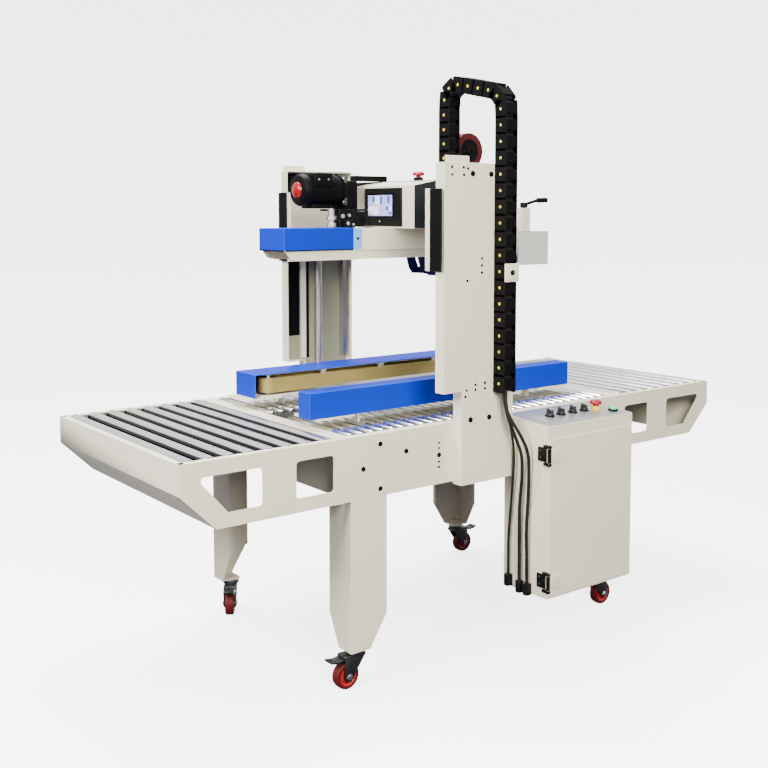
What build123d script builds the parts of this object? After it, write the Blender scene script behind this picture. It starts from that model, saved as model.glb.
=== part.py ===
"""Carton sealer machine: roller bed with two side belt drives, a lifting tape head on two
columns, a control cabinet with a sloped desk, and four braked swivel casters.

Frame: +X is the way cartons travel, +Z is up, -Y is the operator's side.
The origin is on the floor, under the middle of the bed. Sizes are in millimetres.
"""

import math
import os

from build123d import *

# ---- driving dimensions ---------------------------------------------------------------

# bed and tables
bed_height = 700.0          # top edge of the side panels above the floor
frame_width = 768.0         # outside of one side panel to outside of the other
body_length = 1054.0        # length of the middle part of the bed
table_length = 501.0        # length of each roller table
panel_depth = 173.0         # height of the side panels
end_face_height = 78.0      # upright part of a table's end plate
end_slope_length = 98.0     # how far the end slope runs in under the table
sheet = 3.0                 # thickness of the folded sheet
body_flange = 25.0          # inward fold of the middle panels
table_flange = 18.0         # inward fold of the table side plates
slot_top_drop = 39.0        # top of the side cut-outs below the bed height
slot_height = 97.0
slot_corner = 10.0
transition_width = 40.0     # cover strip between table and bed

# rollers
table_roller_radius = 19.0
table_roller_pitch = 57.0
table_roller_count = 8
table_roller_inset = 38.0   # first roller's axis from the end of the table
table_roller_rise = 4.0     # roller top above the bed height
bed_roller_radius = 14.0
bed_roller_pitch = 36.0
bed_roller_count = 29
bed_roller_rise = 3.0
bed_shaft_radius = 5.0
roller_end_gap = 2.0
roller_wall = 2.0
plug_length = 12.0
tray_thick = 1.5            # dark dust trays under the rollers
table_tray_top = 664.0
bed_tray_top = 656.0
foot_slot = 7.0             # half width of the slots where the drive feet pass the bed trays
centre_slot = 90.0          # free width between the two halves of the bed
centre_rail_depth = 57.0

# legs and casters
leg_face_x = 120.0
leg_face_y = 104.0
leg_taper_start = 198.0     # height at which the legs begin to narrow
leg_foot_x = 64.0
leg_foot_y = 60.0
leg_fold = 14.0
leg_bottom = 109.0
foot_thick = 5.0
caster_inset = 40.0
wheel_radius = 37.5
wheel_width = 30.0
caster_trail = 32.0
kingpin_radius = 6.0
axle_radius = 6.0
caster_headings = {"infeed_near": 180.0, "outfeed_near": 0.0, "infeed_far": 235.0, "outfeed_far": 0.0}

# columns and lift guides
column_left = -236.0
column_right = 31.0
column_foot_left = -168.0
column_foot_bottom = 520.0
column_step = 790.0         # height at which the column widens
column_height = 1434.0
column_depth = 37.0         # how far the column stands out from the side panel
column_lip = 14.0
guide_rod_x = -100.0
guide_rod_radius = 12.5
rack_width = 15.0
shaft_x = -20.0
shaft_height = 1320.0
shaft_radius = 10.0
pinion_radius = 18.0

# lifting head
beam_start = -530.0
beam_end = 400.0
beam_width = 134.0
beam_bottom = 1183.0
beam_top = 1247.0
skid_bottom = 1156.0
nose_start = -536.0
nose_end = -290.0
tail_end = 545.0
tail_bottom = 1117.0
tail_top = 1231.0
crossbeam_front = -50.0
crossbeam_back = 10.0
crossbeam_top = 1395.0
carriage_inner = 348.0      # inner face of the carriage plates
carriage_front = -244.0
carriage_back = 20.0
carriage_bottom = 1132.0
carriage_top = 1362.0
shoe_top = 1362.0
shoe_outer = 421.0
hmi_front = -135.0
hmi_near = -165.0
hmi_far = 124.0
hmi_front_top = 1378.0
hmi_back_top = 1393.0
screen_left = -109.0
screen_right = 78.0
screen_bottom = 1253.0
screen_top = 1371.0
screen_thick = 6.0
motor_radius = 50.0
motor_y = 100.0
motor_height = 1364.0
motor_start = -380.0
motor_end = -225.0
gearbox_end = -165.0
stand_start = -270.0
stand_end = -220.0
guard_height = 17.0
gearbox_bottom = 1306.0
roll_x = 213.0
roll_height = 1497.0
roll_radius = 59.0
tape_width = 50.0
roll_spindle = 12.0
arm_reach = 90.0            # pivot to roller, along X
arm_drop = 89.0             # pivot to roller, along Z
arm_pivot_height = 1195.0
front_arm_pivot = -5.0
rear_arm_pivot = 210.0
arm_roller_radius = 16.0
arm_pin_radius = 6.0
lever_x = 440.0
lever_height = 1318.0

# drag chain
chain_left = -49.0
chain_right = -3.0
chain_thick = 48.0
chain_bottom = 782.0
chain_near = -445.0         # middle of the run outside the near column
chain_far = -199.0          # middle of the run that follows the head
chain_loop_height = 1565.0  # centre of the loop
clamp_bottom = 1099.0
clamp_top = 1151.0

# side belt drives
drive_bottom = 730.0
drive_top = 803.0
belt_face = 124.0           # inner face of each belt from the middle of the bed
belt_thick = 4.0
belt_bottom = 744.0
belt_height = 44.0
pulley_radius = 27.0
pulley_in_x = -455.0
pulley_out_x = 400.0
drive_pin_radius = 8.0
near_cover_start = -567.0
far_cover_start = -515.0
cover_end = 455.0
drive_outer = 248.0
near_cover_width = 58.0
cover_sheet = 2.5
drive_base_thick = 6.0
foot_gap_in = 3             # which gaps between bed rollers the drive feet stand in
foot_gap_out = 22
foot_plate = 5.0
foot_y = 200.0
foot_half = 14.0
drive_travel_out = 128.0    # how far each side drive slides outward and inward
drive_travel_in = 64.0
slide_rod_radius = 10.0
slide_rod_height = 615.0

# lower tape unit
tape_unit_start = -230.0
tape_unit_end = 170.0
tape_unit_bottom = 545.0
tape_unit_width = 76.0

# control cabinet
cabinet_left = 37.0
cabinet_right = 401.0
cabinet_front = -562.0
cabinet_bottom = 184.0
cabinet_front_top = 687.0
cabinet_back_top = 697.0
cabinet_wall = 2.0
door_bottom = 189.0
door_top = 650.0
door_margin = 4.0
hinge_x = 34.0
hinge_y = -569.0
hinge_height = 43.0
hinge_places = (214.0, 584.0)
hinge_pin = 3.0
knob_places = (132.0, 180.0, 231.0, 281.0)
knob_radius = 12.0
knob_height = 18.0
stop_x = 333.0
control_row = -475.0
start_x = 362.0
start_y = -520.0
stop_head_radius = 19.0
stop_head_height = 12.0
head_stop_x = -32.0
head_stop_y = -60.0
stop_travel = 5.0
start_travel = 4.0
collar_height = 10.0
plate_thick = 2.0

# fits
running = 0.05              # radial clearance of a shaft in its bore
clear = 0.3                 # gap between pieces that move past each other

# ---- values worked out from them --------------------------------------------------------

half_width = frame_width / 2
half_body = body_length / 2
end_x = half_body + table_length
panel_bottom = bed_height - panel_depth
column_face = half_width + column_depth
half_beam = beam_width / 2
web_inside = half_width - sheet
drive_inner = belt_face + belt_thick + pulley_radius
drive_base_top = drive_bottom + drive_base_thick
cabinet_back = -half_width
desk_slope = math.degrees(math.atan2(cabinet_back_top - cabinet_front_top, cabinet_back - cabinet_front))
desk_middle_y = (cabinet_front + cabinet_back) / 2
desk_middle_z = (cabinet_front_top + cabinet_back_top) / 2
loop_radius = (chain_far - chain_near) / 2
loop_y = (chain_far + chain_near) / 2


# ---- small helpers ----------------------------------------------------------------------

TURN = {"x": Rot(0, 90, 0), "y": Rot(90, 0, 0), "z": Rot(0, 0, 0)}


def block(x, y, z):
    """A box from its lowest and highest value along each axis."""
    middle = Pos((x[0] + x[1]) / 2, (y[0] + y[1]) / 2, (z[0] + z[1]) / 2)
    return middle * Box(abs(x[1] - x[0]), abs(y[1] - y[0]), abs(z[1] - z[0]))


def rod(axis, middle, radius, length):
    """A cylinder along x, y or z about its middle."""
    return Pos(*middle) * TURN[axis] * Cylinder(radius, length)


def outline(points, corner):
    shape = Polygon(*points, align=None)
    if corner:
        shape = fillet(shape.vertices(), corner)
    return shape


def plate_xz(points, y0, y1, corner=0):
    """A flat plate with an outline of (x, z) points, from y0 to y1."""
    return Pos(0, y0, 0) * extrude(Plane.XZ * outline(points, corner), amount=y1 - y0, dir=(0, 1, 0))


def plate_yz(points, x0, x1, corner=0):
    """A flat plate with an outline of (y, z) points, from x0 to x1."""
    return Pos(x0, 0, 0) * extrude(Plane.YZ * outline(points, corner), amount=x1 - x0, dir=(1, 0, 0))


def far_side(shape):
    return mirror(shape, about=Plane.XZ)


def outfeed_side(shape):
    return mirror(shape, about=Plane.YZ)


def write(name, *shapes):
    """One STEP file for one sub-part, which may be several separate solids."""
    solids = [solid for shape in shapes for solid in shape.solids()]
    export_step(Compound(solids), "parts/" + name + ".step")


# ---- bed --------------------------------------------------------------------------------

def side_panel():
    """Middle panel of the near side: a web with its top and bottom edges folded inward."""
    along = (-half_body, half_body)
    web = block(along, (-half_width, -web_inside), (panel_bottom, bed_height))
    fold = (-web_inside, -web_inside + body_flange)
    top = block(along, fold, (bed_height - sheet, bed_height))
    bottom = block(along, fold, (panel_bottom, panel_bottom + sheet))
    return [web, top, bottom]


def table_frame():
    """Infeed table: two cut-out side plates, an end plate with a slope under it, and a dust tray."""
    start, stop = -end_x, -half_body
    slope_top = bed_height - end_face_height
    side = [
        (start, bed_height),
        (stop, bed_height),
        (stop, panel_bottom),
        (start + end_slope_length, panel_bottom),
        (start, slope_top),
    ]
    slot_top = bed_height - slot_top_drop
    slot_bottom = slot_top - slot_height
    oblong = [(stop - 172, slot_top), (stop - 56, slot_top), (stop - 56, slot_bottom), (stop - 172, slot_bottom)]
    tapered = [(start + 45, slot_top), (stop - 272, slot_top), (stop - 272, slot_bottom), (start + 131, slot_bottom)]
    near = plate_xz(side, -half_width, -web_inside)
    for slot in (oblong, tapered):
        near -= plate_xz(slot, -half_width - 1, -web_inside + 1, slot_corner)
    fold = (-web_inside, -web_inside + table_flange)
    near += block((start + sheet, stop), fold, (bed_height - sheet, bed_height))
    near += block((start + end_slope_length, stop), fold, (panel_bottom, panel_bottom + sheet))
    across = (-web_inside, web_inside)
    end = block((start, start + sheet), across, (slope_top, bed_height))
    lip = block((start + sheet, start + table_flange), across, (bed_height - sheet, bed_height))
    run = sheet / math.sin(math.atan2(panel_depth - end_face_height, end_slope_length))
    slope = plate_xz(
        [
            (start, slope_top),
            (start + end_slope_length, panel_bottom),
            (start + end_slope_length + run, panel_bottom),
            (start + run, slope_top),
        ],
        -web_inside,
        web_inside,
    )
    tray_x = (start + sheet + 1, stop - 1)
    tray = block(tray_x, across, (table_tray_top - tray_thick, table_tray_top))
    return [near, far_side(near), end + lip + slope, tray]


def leg():
    """Near infeed leg: a folded angle that narrows to a foot plate."""
    x0, y0 = -half_body, -half_width
    face = [
        (x0, panel_bottom),
        (x0 + leg_face_x, panel_bottom),
        (x0 + leg_face_x, leg_taper_start),
        (x0 + leg_foot_x, leg_bottom),
        (x0, leg_bottom),
    ]
    side = [
        (y0, panel_bottom),
        (y0 + leg_face_y, panel_bottom),
        (y0 + leg_face_y, leg_taper_start),
        (y0 + leg_foot_y, leg_bottom),
        (y0, leg_bottom),
    ]
    shape = plate_xz(face, y0, y0 + sheet) + plate_yz(side, x0, x0 + sheet)
    inner_x, inner_y = x0 + leg_face_x, y0 + leg_face_y
    upright = (leg_taper_start, panel_bottom)
    shape += block((inner_x - sheet, inner_x), (y0 + sheet, y0 + leg_fold), upright)
    shape += block((x0 + sheet, x0 + leg_fold), (inner_y - sheet, inner_y), upright)
    foot = block(
        (x0 + sheet, x0 + leg_foot_x),
        (y0 + sheet, y0 + leg_foot_y),
        (leg_bottom, leg_bottom + foot_thick),
    )
    foot -= rod("z", (x0 + caster_inset, y0 + caster_inset, leg_bottom), kingpin_radius + running, 40)
    return shape + foot


def cross_panel():
    """Panel across the infeed end of the middle bed, with the cover strip towards the table."""
    reach = web_inside - body_flange
    start = -half_body
    panel = block((start, start + sheet), (-reach, reach), (panel_bottom, bed_height))
    strip_reach = web_inside - table_flange
    top = (bed_height - sheet, bed_height)
    return [panel, block((start - transition_width, start), (-strip_reach, strip_reach), top)]


def roller(x, y_middle, height, radius, face, shaft, shaft_length, shaft_middle):
    """A tube with an end plug at each end, turning on a through shaft."""
    tube = rod("y", (x, y_middle, height), radius, face)
    tube -= rod("y", (x, y_middle, height), radius - roller_wall, face - 2 * plug_length)
    return tube + rod("y", (x, shaft_middle, height), shaft, shaft_length)


def table_rollers():
    """Idle rollers of the infeed table, each on a shaft held by the side plates."""
    height = bed_height + table_roller_rise - table_roller_radius
    face = 2 * (web_inside - table_flange - roller_end_gap)
    rollers = []
    for number in range(table_roller_count):
        x = -end_x + table_roller_inset + number * table_roller_pitch
        rollers.append(roller(x, 0, height, table_roller_radius, face, axle_radius, 2 * web_inside, 0))
    return rollers


def bed_roller_place(number):
    return (number - (bed_roller_count - 1) / 2) * bed_roller_pitch


def bed_rollers():
    """Slim rollers of the middle bed, in two halves beside the lower tape unit."""
    height = bed_height + bed_roller_rise - bed_roller_radius
    rail = centre_slot / 2
    inner = rail + roller_end_gap
    outer = web_inside - body_flange - roller_end_gap
    rollers = []
    for number in range(bed_roller_count):
        near = roller(
            bed_roller_place(number),
            -(inner + outer) / 2,
            height,
            bed_roller_radius,
            outer - inner,
            bed_shaft_radius,
            web_inside - rail,
            -(rail + web_inside) / 2,
        )
        rollers += [near, far_side(near)]
    return rollers


def foot_x(gap):
    """Middle of a gap between two bed rollers, counted from the infeed end."""
    return bed_roller_place(gap) + bed_roller_pitch / 2


def bed_subframe():
    """Centre rails that carry the roller shafts, dust trays, and the rods the side drives slide on."""
    rail = centre_slot / 2
    length = half_body - sheet
    top = bed_height - sheet
    near = block((-length, length), (-rail, -rail + sheet), (top - centre_rail_depth, top))
    pieces = [near, far_side(near)]
    tray = block((-length, length), (-web_inside, -rail), (bed_tray_top - tray_thick, bed_tray_top))
    for gap in (foot_gap_in, foot_gap_out):
        pieces.append(rod("y", (foot_x(gap), 0, slide_rod_height), slide_rod_radius, 2 * web_inside))
        slot_x = (foot_x(gap) - foot_slot, foot_x(gap) + foot_slot)
        slot_y = (-foot_y - foot_half - drive_travel_out - 4, -foot_y + foot_half + drive_travel_in + 4)
        tray -= block(slot_x, slot_y, (bed_tray_top - 10, bed_tray_top + 10))
    pieces += [tray, far_side(tray)]
    return pieces


# ---- columns ----------------------------------------------------------------------------

def column():
    """Near column: one front plate, wider above the step, with folded side walls and caps."""
    face = (-column_face, -column_face + sheet)
    depth = (-column_face + sheet, -half_width)
    plates = [
        block((column_foot_left, column_right), face, (column_foot_bottom, column_step)),
        block((column_left, column_right), face, (column_step, column_height)),
    ]
    for x in (column_foot_left, column_right - sheet):
        plates.append(block((x, x + sheet), depth, (column_foot_bottom, column_step)))
    for x in (column_left, column_right - sheet):
        plates.append(block((x, x + sheet), depth, (column_step, column_height)))
    inside = (column_left + sheet, column_right - sheet)
    plates.append(block(inside, depth, (column_height - sheet, column_height)))
    ledge = (column_left + sheet, column_foot_left + sheet)
    plates.append(block(ledge, depth, (column_step, column_step + sheet)))
    shelf = (column_foot_left + sheet, column_right - sheet)
    plates.append(block(shelf, depth, (bed_height - sheet, bed_height)))
    return plates


def column_tab():
    """Small plate behind the column's front plate that stands above its top edge."""
    y = -column_face + sheet
    return block(
        (column_left + 2 * sheet, column_left + 94), (y, y + sheet), (column_height, column_height + 19)
    )


def lift_guides():
    """Guide rod and rack inside the near column."""
    y = -column_face + sheet + 17
    top = column_height - sheet
    guide = rod("z", (guide_rod_x, y, (bed_height + top) / 2), guide_rod_radius, top - bed_height)
    rack_x = shaft_x + pinion_radius + clear
    rack = block((rack_x, rack_x + rack_width), (-column_face + sheet, -column_face + sheet + 26), (800, top))
    return guide + rack


def drag_chain_run(y, low, high):
    return block((chain_left, chain_right), (y - chain_thick / 2, y + chain_thick / 2), (low, high))


def drag_chain_loop():
    """Half ring of chain between the fixed and the moving run."""
    middle = ((chain_left + chain_right) / 2, loop_y, chain_loop_height)
    width = chain_right - chain_left
    ring = rod("x", middle, loop_radius + chain_thick / 2, width)
    ring -= rod("x", middle, loop_radius - chain_thick / 2, width + 2)
    reach = loop_radius + chain_thick
    upper = block(
        (chain_left - 1, chain_right + 1),
        (loop_y - reach, loop_y + reach),
        (chain_loop_height, chain_loop_height + reach),
    )
    return ring & upper


def chain_clamp():
    """Angle that holds the fixed run against the column."""
    front = chain_near - chain_thick / 2
    span = (clamp_bottom, clamp_top)
    side = block((chain_right, chain_right + sheet), (front - 5, -column_face), span)
    return side + block((chain_left - 3, chain_right), (front - 5, front), span)


# ---- lifting head -----------------------------------------------------------------------

def head_beam():
    """Beam of the tape head: top, sides with their skids, end webs and the arms' pivot pins."""
    top = block((beam_start, beam_end), (-half_beam, half_beam), (beam_top - sheet, beam_top))
    side = block((beam_start, beam_end), (-half_beam, -half_beam + sheet), (beam_bottom, beam_top - sheet))
    skid_points = [
        (beam_start, beam_bottom + 24),
        (beam_start, beam_bottom + 4),
        (beam_start + 22, skid_bottom + 5),
        (beam_start + 50, skid_bottom),
        (beam_end, skid_bottom),
        (beam_end, beam_bottom + 24),
    ]
    skid = plate_xz(skid_points, -half_beam + sheet, -half_beam + 2 * sheet)
    near = side + skid
    inner = half_beam - 2 * sheet
    pieces = [top, near, far_side(near)]
    for x in (beam_start, beam_end - sheet):
        pieces.append(block((x, x + sheet), (-inner, inner), (beam_bottom, beam_top - sheet)))
    for pivot in (front_arm_pivot, rear_arm_pivot):
        pieces.append(rod("y", (pivot, 0, arm_pivot_height), arm_pin_radius, 2 * inner))
    return pieces


def beam_covers():
    """Nose cover at the infeed end and the closed cover over the tape exit."""
    wrap = half_beam + sheet
    outer = block((nose_start, nose_end), (-wrap, wrap), (beam_bottom + 4, beam_top + sheet))
    outer = fillet(outer.edges().filter_by(Axis.Z).group_by(Axis.X)[0], 8)
    room = block((beam_start, nose_end + 1), (-half_beam, half_beam), (beam_bottom, beam_top))
    nose = outer - room
    tail = block((beam_end, tail_end), (-half_beam, half_beam), (tail_bottom, tail_top))
    hollow = block(
        (beam_end - 1, tail_end - sheet),
        (-half_beam + sheet, half_beam - sheet),
        (tail_bottom - 1, tail_top - sheet),
    )
    return [nose, tail - hollow]


def head_carriage():
    """Crossbeam tube with a carriage plate and bearings at each end."""
    across = (-carriage_inner, carriage_inner)
    tube = block((crossbeam_front, crossbeam_back), across, (beam_top, crossbeam_top))
    tube -= block(
        (crossbeam_front + 4, crossbeam_back - 4),
        (-carriage_inner - 1, carriage_inner + 1),
        (beam_top + 4, crossbeam_top - 4),
    )
    outer = -carriage_inner - sheet
    plate = block((carriage_front, carriage_back), (outer, -carriage_inner), (carriage_bottom, carriage_top))
    plate += block((carriage_front, carriage_front + sheet), (outer - 29, outer), (carriage_bottom, carriage_top))
    guide_y = -column_face + sheet + 17
    bearing = block((guide_rod_x - 26, guide_rod_x + 26), (guide_y - 16, guide_y + 12), (1150, 1350))
    bearing += block((guide_rod_x - 10, guide_rod_x + 10), (guide_y + 12, outer), (1150, 1350))
    bearing -= rod("z", (guide_rod_x, guide_y, 1250), guide_rod_radius + running, 300)
    housing = rod("y", (shaft_x, outer - 7, shaft_height), 2 * shaft_radius, 14)
    side = plate + bearing + housing
    side -= rod("y", (shaft_x, outer, shaft_height), shaft_radius + running, 60)
    return tube + side + far_side(side)


def head_brackets():
    """Black pieces bolted to the head: guide shoes, roll post, motor bracket and guard arm."""
    shoe_span = (-shoe_outer, -shoe_outer + 50)
    shoe = block((carriage_front - sheet, carriage_front), shoe_span, (carriage_bottom, shoe_top))
    post = block((roll_x - 15, roll_x + 15), (tape_width / 2 + 5, tape_width / 2 + 11), (beam_top, roll_height))
    post += rod("y", (roll_x, tape_width / 2 + 8, roll_height), 22, 6)
    post += block((roll_x - 25, roll_x + 25), (tape_width / 2 - 7, tape_width / 2 + 11), (beam_top, beam_top + 6))
    post += rod("y", (roll_x, 0, roll_height), roll_spindle, tape_width + 16)
    shelf = (gearbox_bottom - 6, gearbox_bottom)
    stand = block((stand_start, stand_end), (30, 66), (beam_top, shelf[0]))
    stand += block((stand_start, gearbox_end), (30, 140), shelf)
    guard = block((gearbox_end, -35), (96, 122), (crossbeam_top, crossbeam_top + guard_height))
    return [shoe, far_side(shoe), post, stand, guard]


def lift_motor():
    """Motor along the beam with a domed end cap and a right-angle gearbox."""
    middle = ((motor_start + motor_end) / 2, motor_y, motor_height)
    barrel = rod("x", middle, motor_radius, motor_end - motor_start)
    barrel = fillet(barrel.edges(), 10)
    dome = Pos(motor_start + 4, motor_y, motor_height) * Sphere(26)
    dome &= block((motor_start - 11, motor_start + 20), (motor_y - 40, motor_y + 40), (motor_height - 40, motor_height + 40))
    gearbox = block((motor_end, gearbox_end), (80, 140), (gearbox_bottom, crossbeam_top))
    return barrel + dome + gearbox


def lift_shaft():
    """Cross shaft with a pinion against each rack. The teeth are left smooth."""
    face = column_face - sheet - 8
    shaft = rod("y", (shaft_x, 0, shaft_height), shaft_radius, 2 * face)
    for side in (-1, 1):
        shaft += rod("y", (shaft_x, side * (face - 10), shaft_height), pinion_radius, 20)
    return shaft


def hmi_box():
    """Sheet housing for the touch screen, open at the back against the crossbeam."""
    side = [
        (hmi_front, beam_top),
        (crossbeam_front, beam_top),
        (crossbeam_front, hmi_back_top),
        (hmi_front, hmi_front_top),
    ]
    wall = cabinet_wall
    inside = [
        (hmi_front + wall, beam_top + wall),
        (crossbeam_front + 1, beam_top + wall),
        (crossbeam_front + 1, hmi_back_top - wall),
        (hmi_front + wall, hmi_front_top - wall),
    ]
    return plate_xz(side, hmi_near, hmi_far) - plate_xz(inside, hmi_near + wall, hmi_far - wall)


def touch_screen():
    bezel = block((hmi_front - screen_thick, hmi_front), (screen_left, screen_right), (screen_bottom, screen_top))
    return fillet(bezel.edges().filter_by(Axis.X), 5)


def wipe_arm(pivot):
    """Sprung arm that presses the tape down: two cheeks and a roller."""
    tip_x, tip_z = pivot + arm_reach, arm_pivot_height - arm_drop
    arm = rod("y", (tip_x, 0, tip_z), arm_roller_radius, tape_width)
    arm += rod("y", (tip_x, 0, tip_z), 5, tape_width + 12)
    y = tape_width / 2 + 2
    bend = (pivot + 22, tip_z - 6)
    points = [
        (pivot - 12, arm_pivot_height + 10),
        (pivot + 12, arm_pivot_height + 12),
        (pivot + 44, tip_z + 14),
        (tip_x + 10, tip_z + 10),
        (tip_x + 8, tip_z - 10),
        bend,
        (pivot + 8, tip_z + 10),
        (pivot - 12, arm_pivot_height - 14),
    ]
    cheek = plate_xz(points, -y - 4, -y, 5)
    arm += cheek + far_side(cheek)
    sleeve = rod("y", (pivot, 0, arm_pivot_height), arm_pin_radius + 4, 2 * y)
    bore = rod("y", (pivot, 0, arm_pivot_height), arm_pin_radius + running, 4 * y)
    return arm + sleeve - bore


def tape_roll():
    roll = rod("y", (roll_x, 0, roll_height), roll_radius, tape_width)
    return roll - rod("y", (roll_x, 0, roll_height), roll_spindle + running, tape_width + 2)


def clamp_lever_seat():
    """Block on the tail of the beam that the clamp lever turns on."""
    seat = block((lever_x - 16, lever_x + 16), (-half_beam, -half_beam + 30), (tail_top, lever_height - 8))
    return seat + rod("z", (lever_x, -half_beam + 15, lever_height), 5, 20)


def clamp_lever():
    """Bent handle with a round grip."""
    hub = rod("z", (lever_x, -half_beam + 15, lever_height + 2), 13, 18)
    path = Line((lever_x, -half_beam + 15, lever_height + 4), (lever_x + 52, -half_beam - 2, lever_height + 20))
    arm = sweep(Plane(origin=path @ 0, z_dir=path % 0) * Circle(5), path=path)
    grip_path = Line(path @ 1 - (path % 1) * 4, path @ 1 + Vector(34, -6, 0))
    grip = sweep(Plane(origin=grip_path @ 0, z_dir=grip_path % 0) * Circle(8.5), path=grip_path)
    bore = rod("z", (lever_x, -half_beam + 15, lever_height), 5 + running, 60)
    return hub + arm + grip - bore


# ---- side belt drives -------------------------------------------------------------------

def drive_frame():
    """Base of the near drive: pulley pins, guide rollers, motor and sliding feet."""
    y_pin = -drive_inner
    inner = y_pin + pulley_radius - 4
    base_top = drive_base_top
    base = block((pulley_in_x - 40, pulley_out_x + 30), (-drive_outer + 8, inner), (drive_bottom, base_top))
    for x0 in (pulley_in_x - 90, pulley_out_x - 80):
        base += block((x0, x0 + 131), (-drive_outer + 4, inner - 2), (drive_bottom - 7, drive_bottom))
    top = drive_top - 6
    for x in (pulley_in_x, pulley_out_x):
        base += rod("z", (x, y_pin, (base_top + top) / 2), drive_pin_radius, top - base_top)
    base += block((pulley_in_x - 20, pulley_out_x + 20), (y_pin - 20, y_pin + 18), (top, top + 3))
    for x in (-260, -30, 200):
        y = -(belt_face + belt_thick + clear + 12)
        base += rod("z", (x, y, (base_top + top) / 2), 12, top - base_top)
    motor_y_place = -drive_outer + 30
    base += rod("x", (340, motor_y_place, 764), 22, 150)
    base += block((275, 405), (motor_y_place - 12, motor_y_place + 12), (base_top, 750))
    for gap in (foot_gap_in, foot_gap_out):
        x = foot_x(gap)
        leg_y = (-foot_y - foot_half, -foot_y + foot_half)
        foot_z = slide_rod_height + slide_rod_radius
        base += block((x - foot_plate / 2, x + foot_plate / 2), leg_y, (foot_z, drive_bottom))
        slider = block((x - 20, x + 20), leg_y, (slide_rod_height - 16, slide_rod_height + 16))
        slider -= rod("y", (x, -foot_y, slide_rod_height), slide_rod_radius + running, 60)
        base += slider
    return base


def drive_cover(start, inner, open_inside):
    """Folded cover of a near drive, open underneath."""
    wall = cover_sheet
    outer = block((start, cover_end), (-drive_outer, inner), (drive_bottom, drive_top))
    room_y = inner + 1 if open_inside else inner - wall
    room = block(
        (start + wall, cover_end - wall), (-drive_outer + wall, room_y), (drive_bottom - 1, drive_top - wall)
    )
    over_base = block(
        (start + wall, cover_end - wall), (inner - 2 * wall, inner + 1), (drive_bottom - 1, drive_base_top)
    )
    return outer - room - over_base


def drive_belt():
    """Flat belt round the two pulleys."""
    middle = (pulley_in_x + pulley_out_x) / 2
    length = pulley_out_x - pulley_in_x
    inner = pulley_radius + clear
    outer = pulley_radius + belt_thick
    band = SlotCenterToCenter(length, 2 * outer) - SlotCenterToCenter(length, 2 * inner)
    return Pos(middle, -drive_inner, belt_bottom) * extrude(band, amount=belt_height)


def drive_pulley(x):
    height = belt_height + 3
    pulley = rod("z", (x, -drive_inner, belt_bottom + belt_height / 2), pulley_radius, height)
    return pulley - rod("z", (x, -drive_inner, belt_bottom), drive_pin_radius + running, 200)


# ---- lower tape unit --------------------------------------------------------------------

def lower_tape_unit():
    """Tape unit under the bed: two side plates, a floor, wipe rollers and the roll's spindle."""
    half = tape_unit_width / 2
    span = (tape_unit_start, tape_unit_end)
    near = block(span, (-half, -half + sheet), (tape_unit_bottom, bed_height - 4))
    unit = near + far_side(near)
    unit += block(span, (-half + sheet, half - sheet), (tape_unit_bottom, tape_unit_bottom + sheet))
    for x in (tape_unit_start + 40, tape_unit_end - 40):
        unit += rod("y", (x, 0, bed_height - 16), 16, 2 * half - 2 * sheet)
    unit += rod("y", (-30, 0, 620), roll_spindle, 2 * half - 2 * sheet)
    for x in (tape_unit_start + 4, tape_unit_end - 24):
        for side in (-1, 1):
            edge = side * half
            rail = side * (centre_slot / 2 - sheet)
            unit += block((x, x + 20), (edge, rail), (bed_height - 50, bed_height - 20))
    return unit


def lower_tape_roll():
    roll = rod("y", (-30, 0, 620), roll_radius, tape_width)
    return roll - rod("y", (-30, 0, 620), roll_spindle + running, tape_width + 2)


# ---- control cabinet --------------------------------------------------------------------

def on_desk(x, y, height):
    """Place on the sloped desk: over (x, y), at a height square to the plate."""
    slope = math.radians(desk_slope)
    rise = (y - desk_middle_y) * math.tan(slope)
    return Pos(x, y, desk_middle_z + rise) * Rot(desk_slope, 0, 0) * Pos(0, 0, height)


def cabinet_section(inset):
    return [
        (cabinet_front + inset, cabinet_bottom + inset),
        (cabinet_back - inset, cabinet_bottom + inset),
        (cabinet_back - inset, cabinet_back_top - inset),
        (cabinet_front + inset, cabinet_front_top - inset),
    ]


def cabinet_hinge_pin(bottom):
    """Pin of one door hinge between two lugs on the cabinet's side."""
    lug = 8
    top = bottom + hinge_height
    pin = rod("z", (hinge_x, hinge_y, (bottom + top) / 2), hinge_pin, hinge_height + 2 * lug)
    for z in (bottom - lug, top):
        pin += block((hinge_x - 6, cabinet_left), (hinge_y - 6, cabinet_front + 12), (z, z + lug))
    return pin


def cable_seat(y, top):
    """Elbow gland on the cabinet's left side with its mouth upward."""
    seat = block((cabinet_left - 20, cabinet_left), (y - 10, y + 10), (top - 34, top))
    return fillet(seat.edges().filter_by(Axis.Z).group_by(Axis.X)[0], 6)


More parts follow.
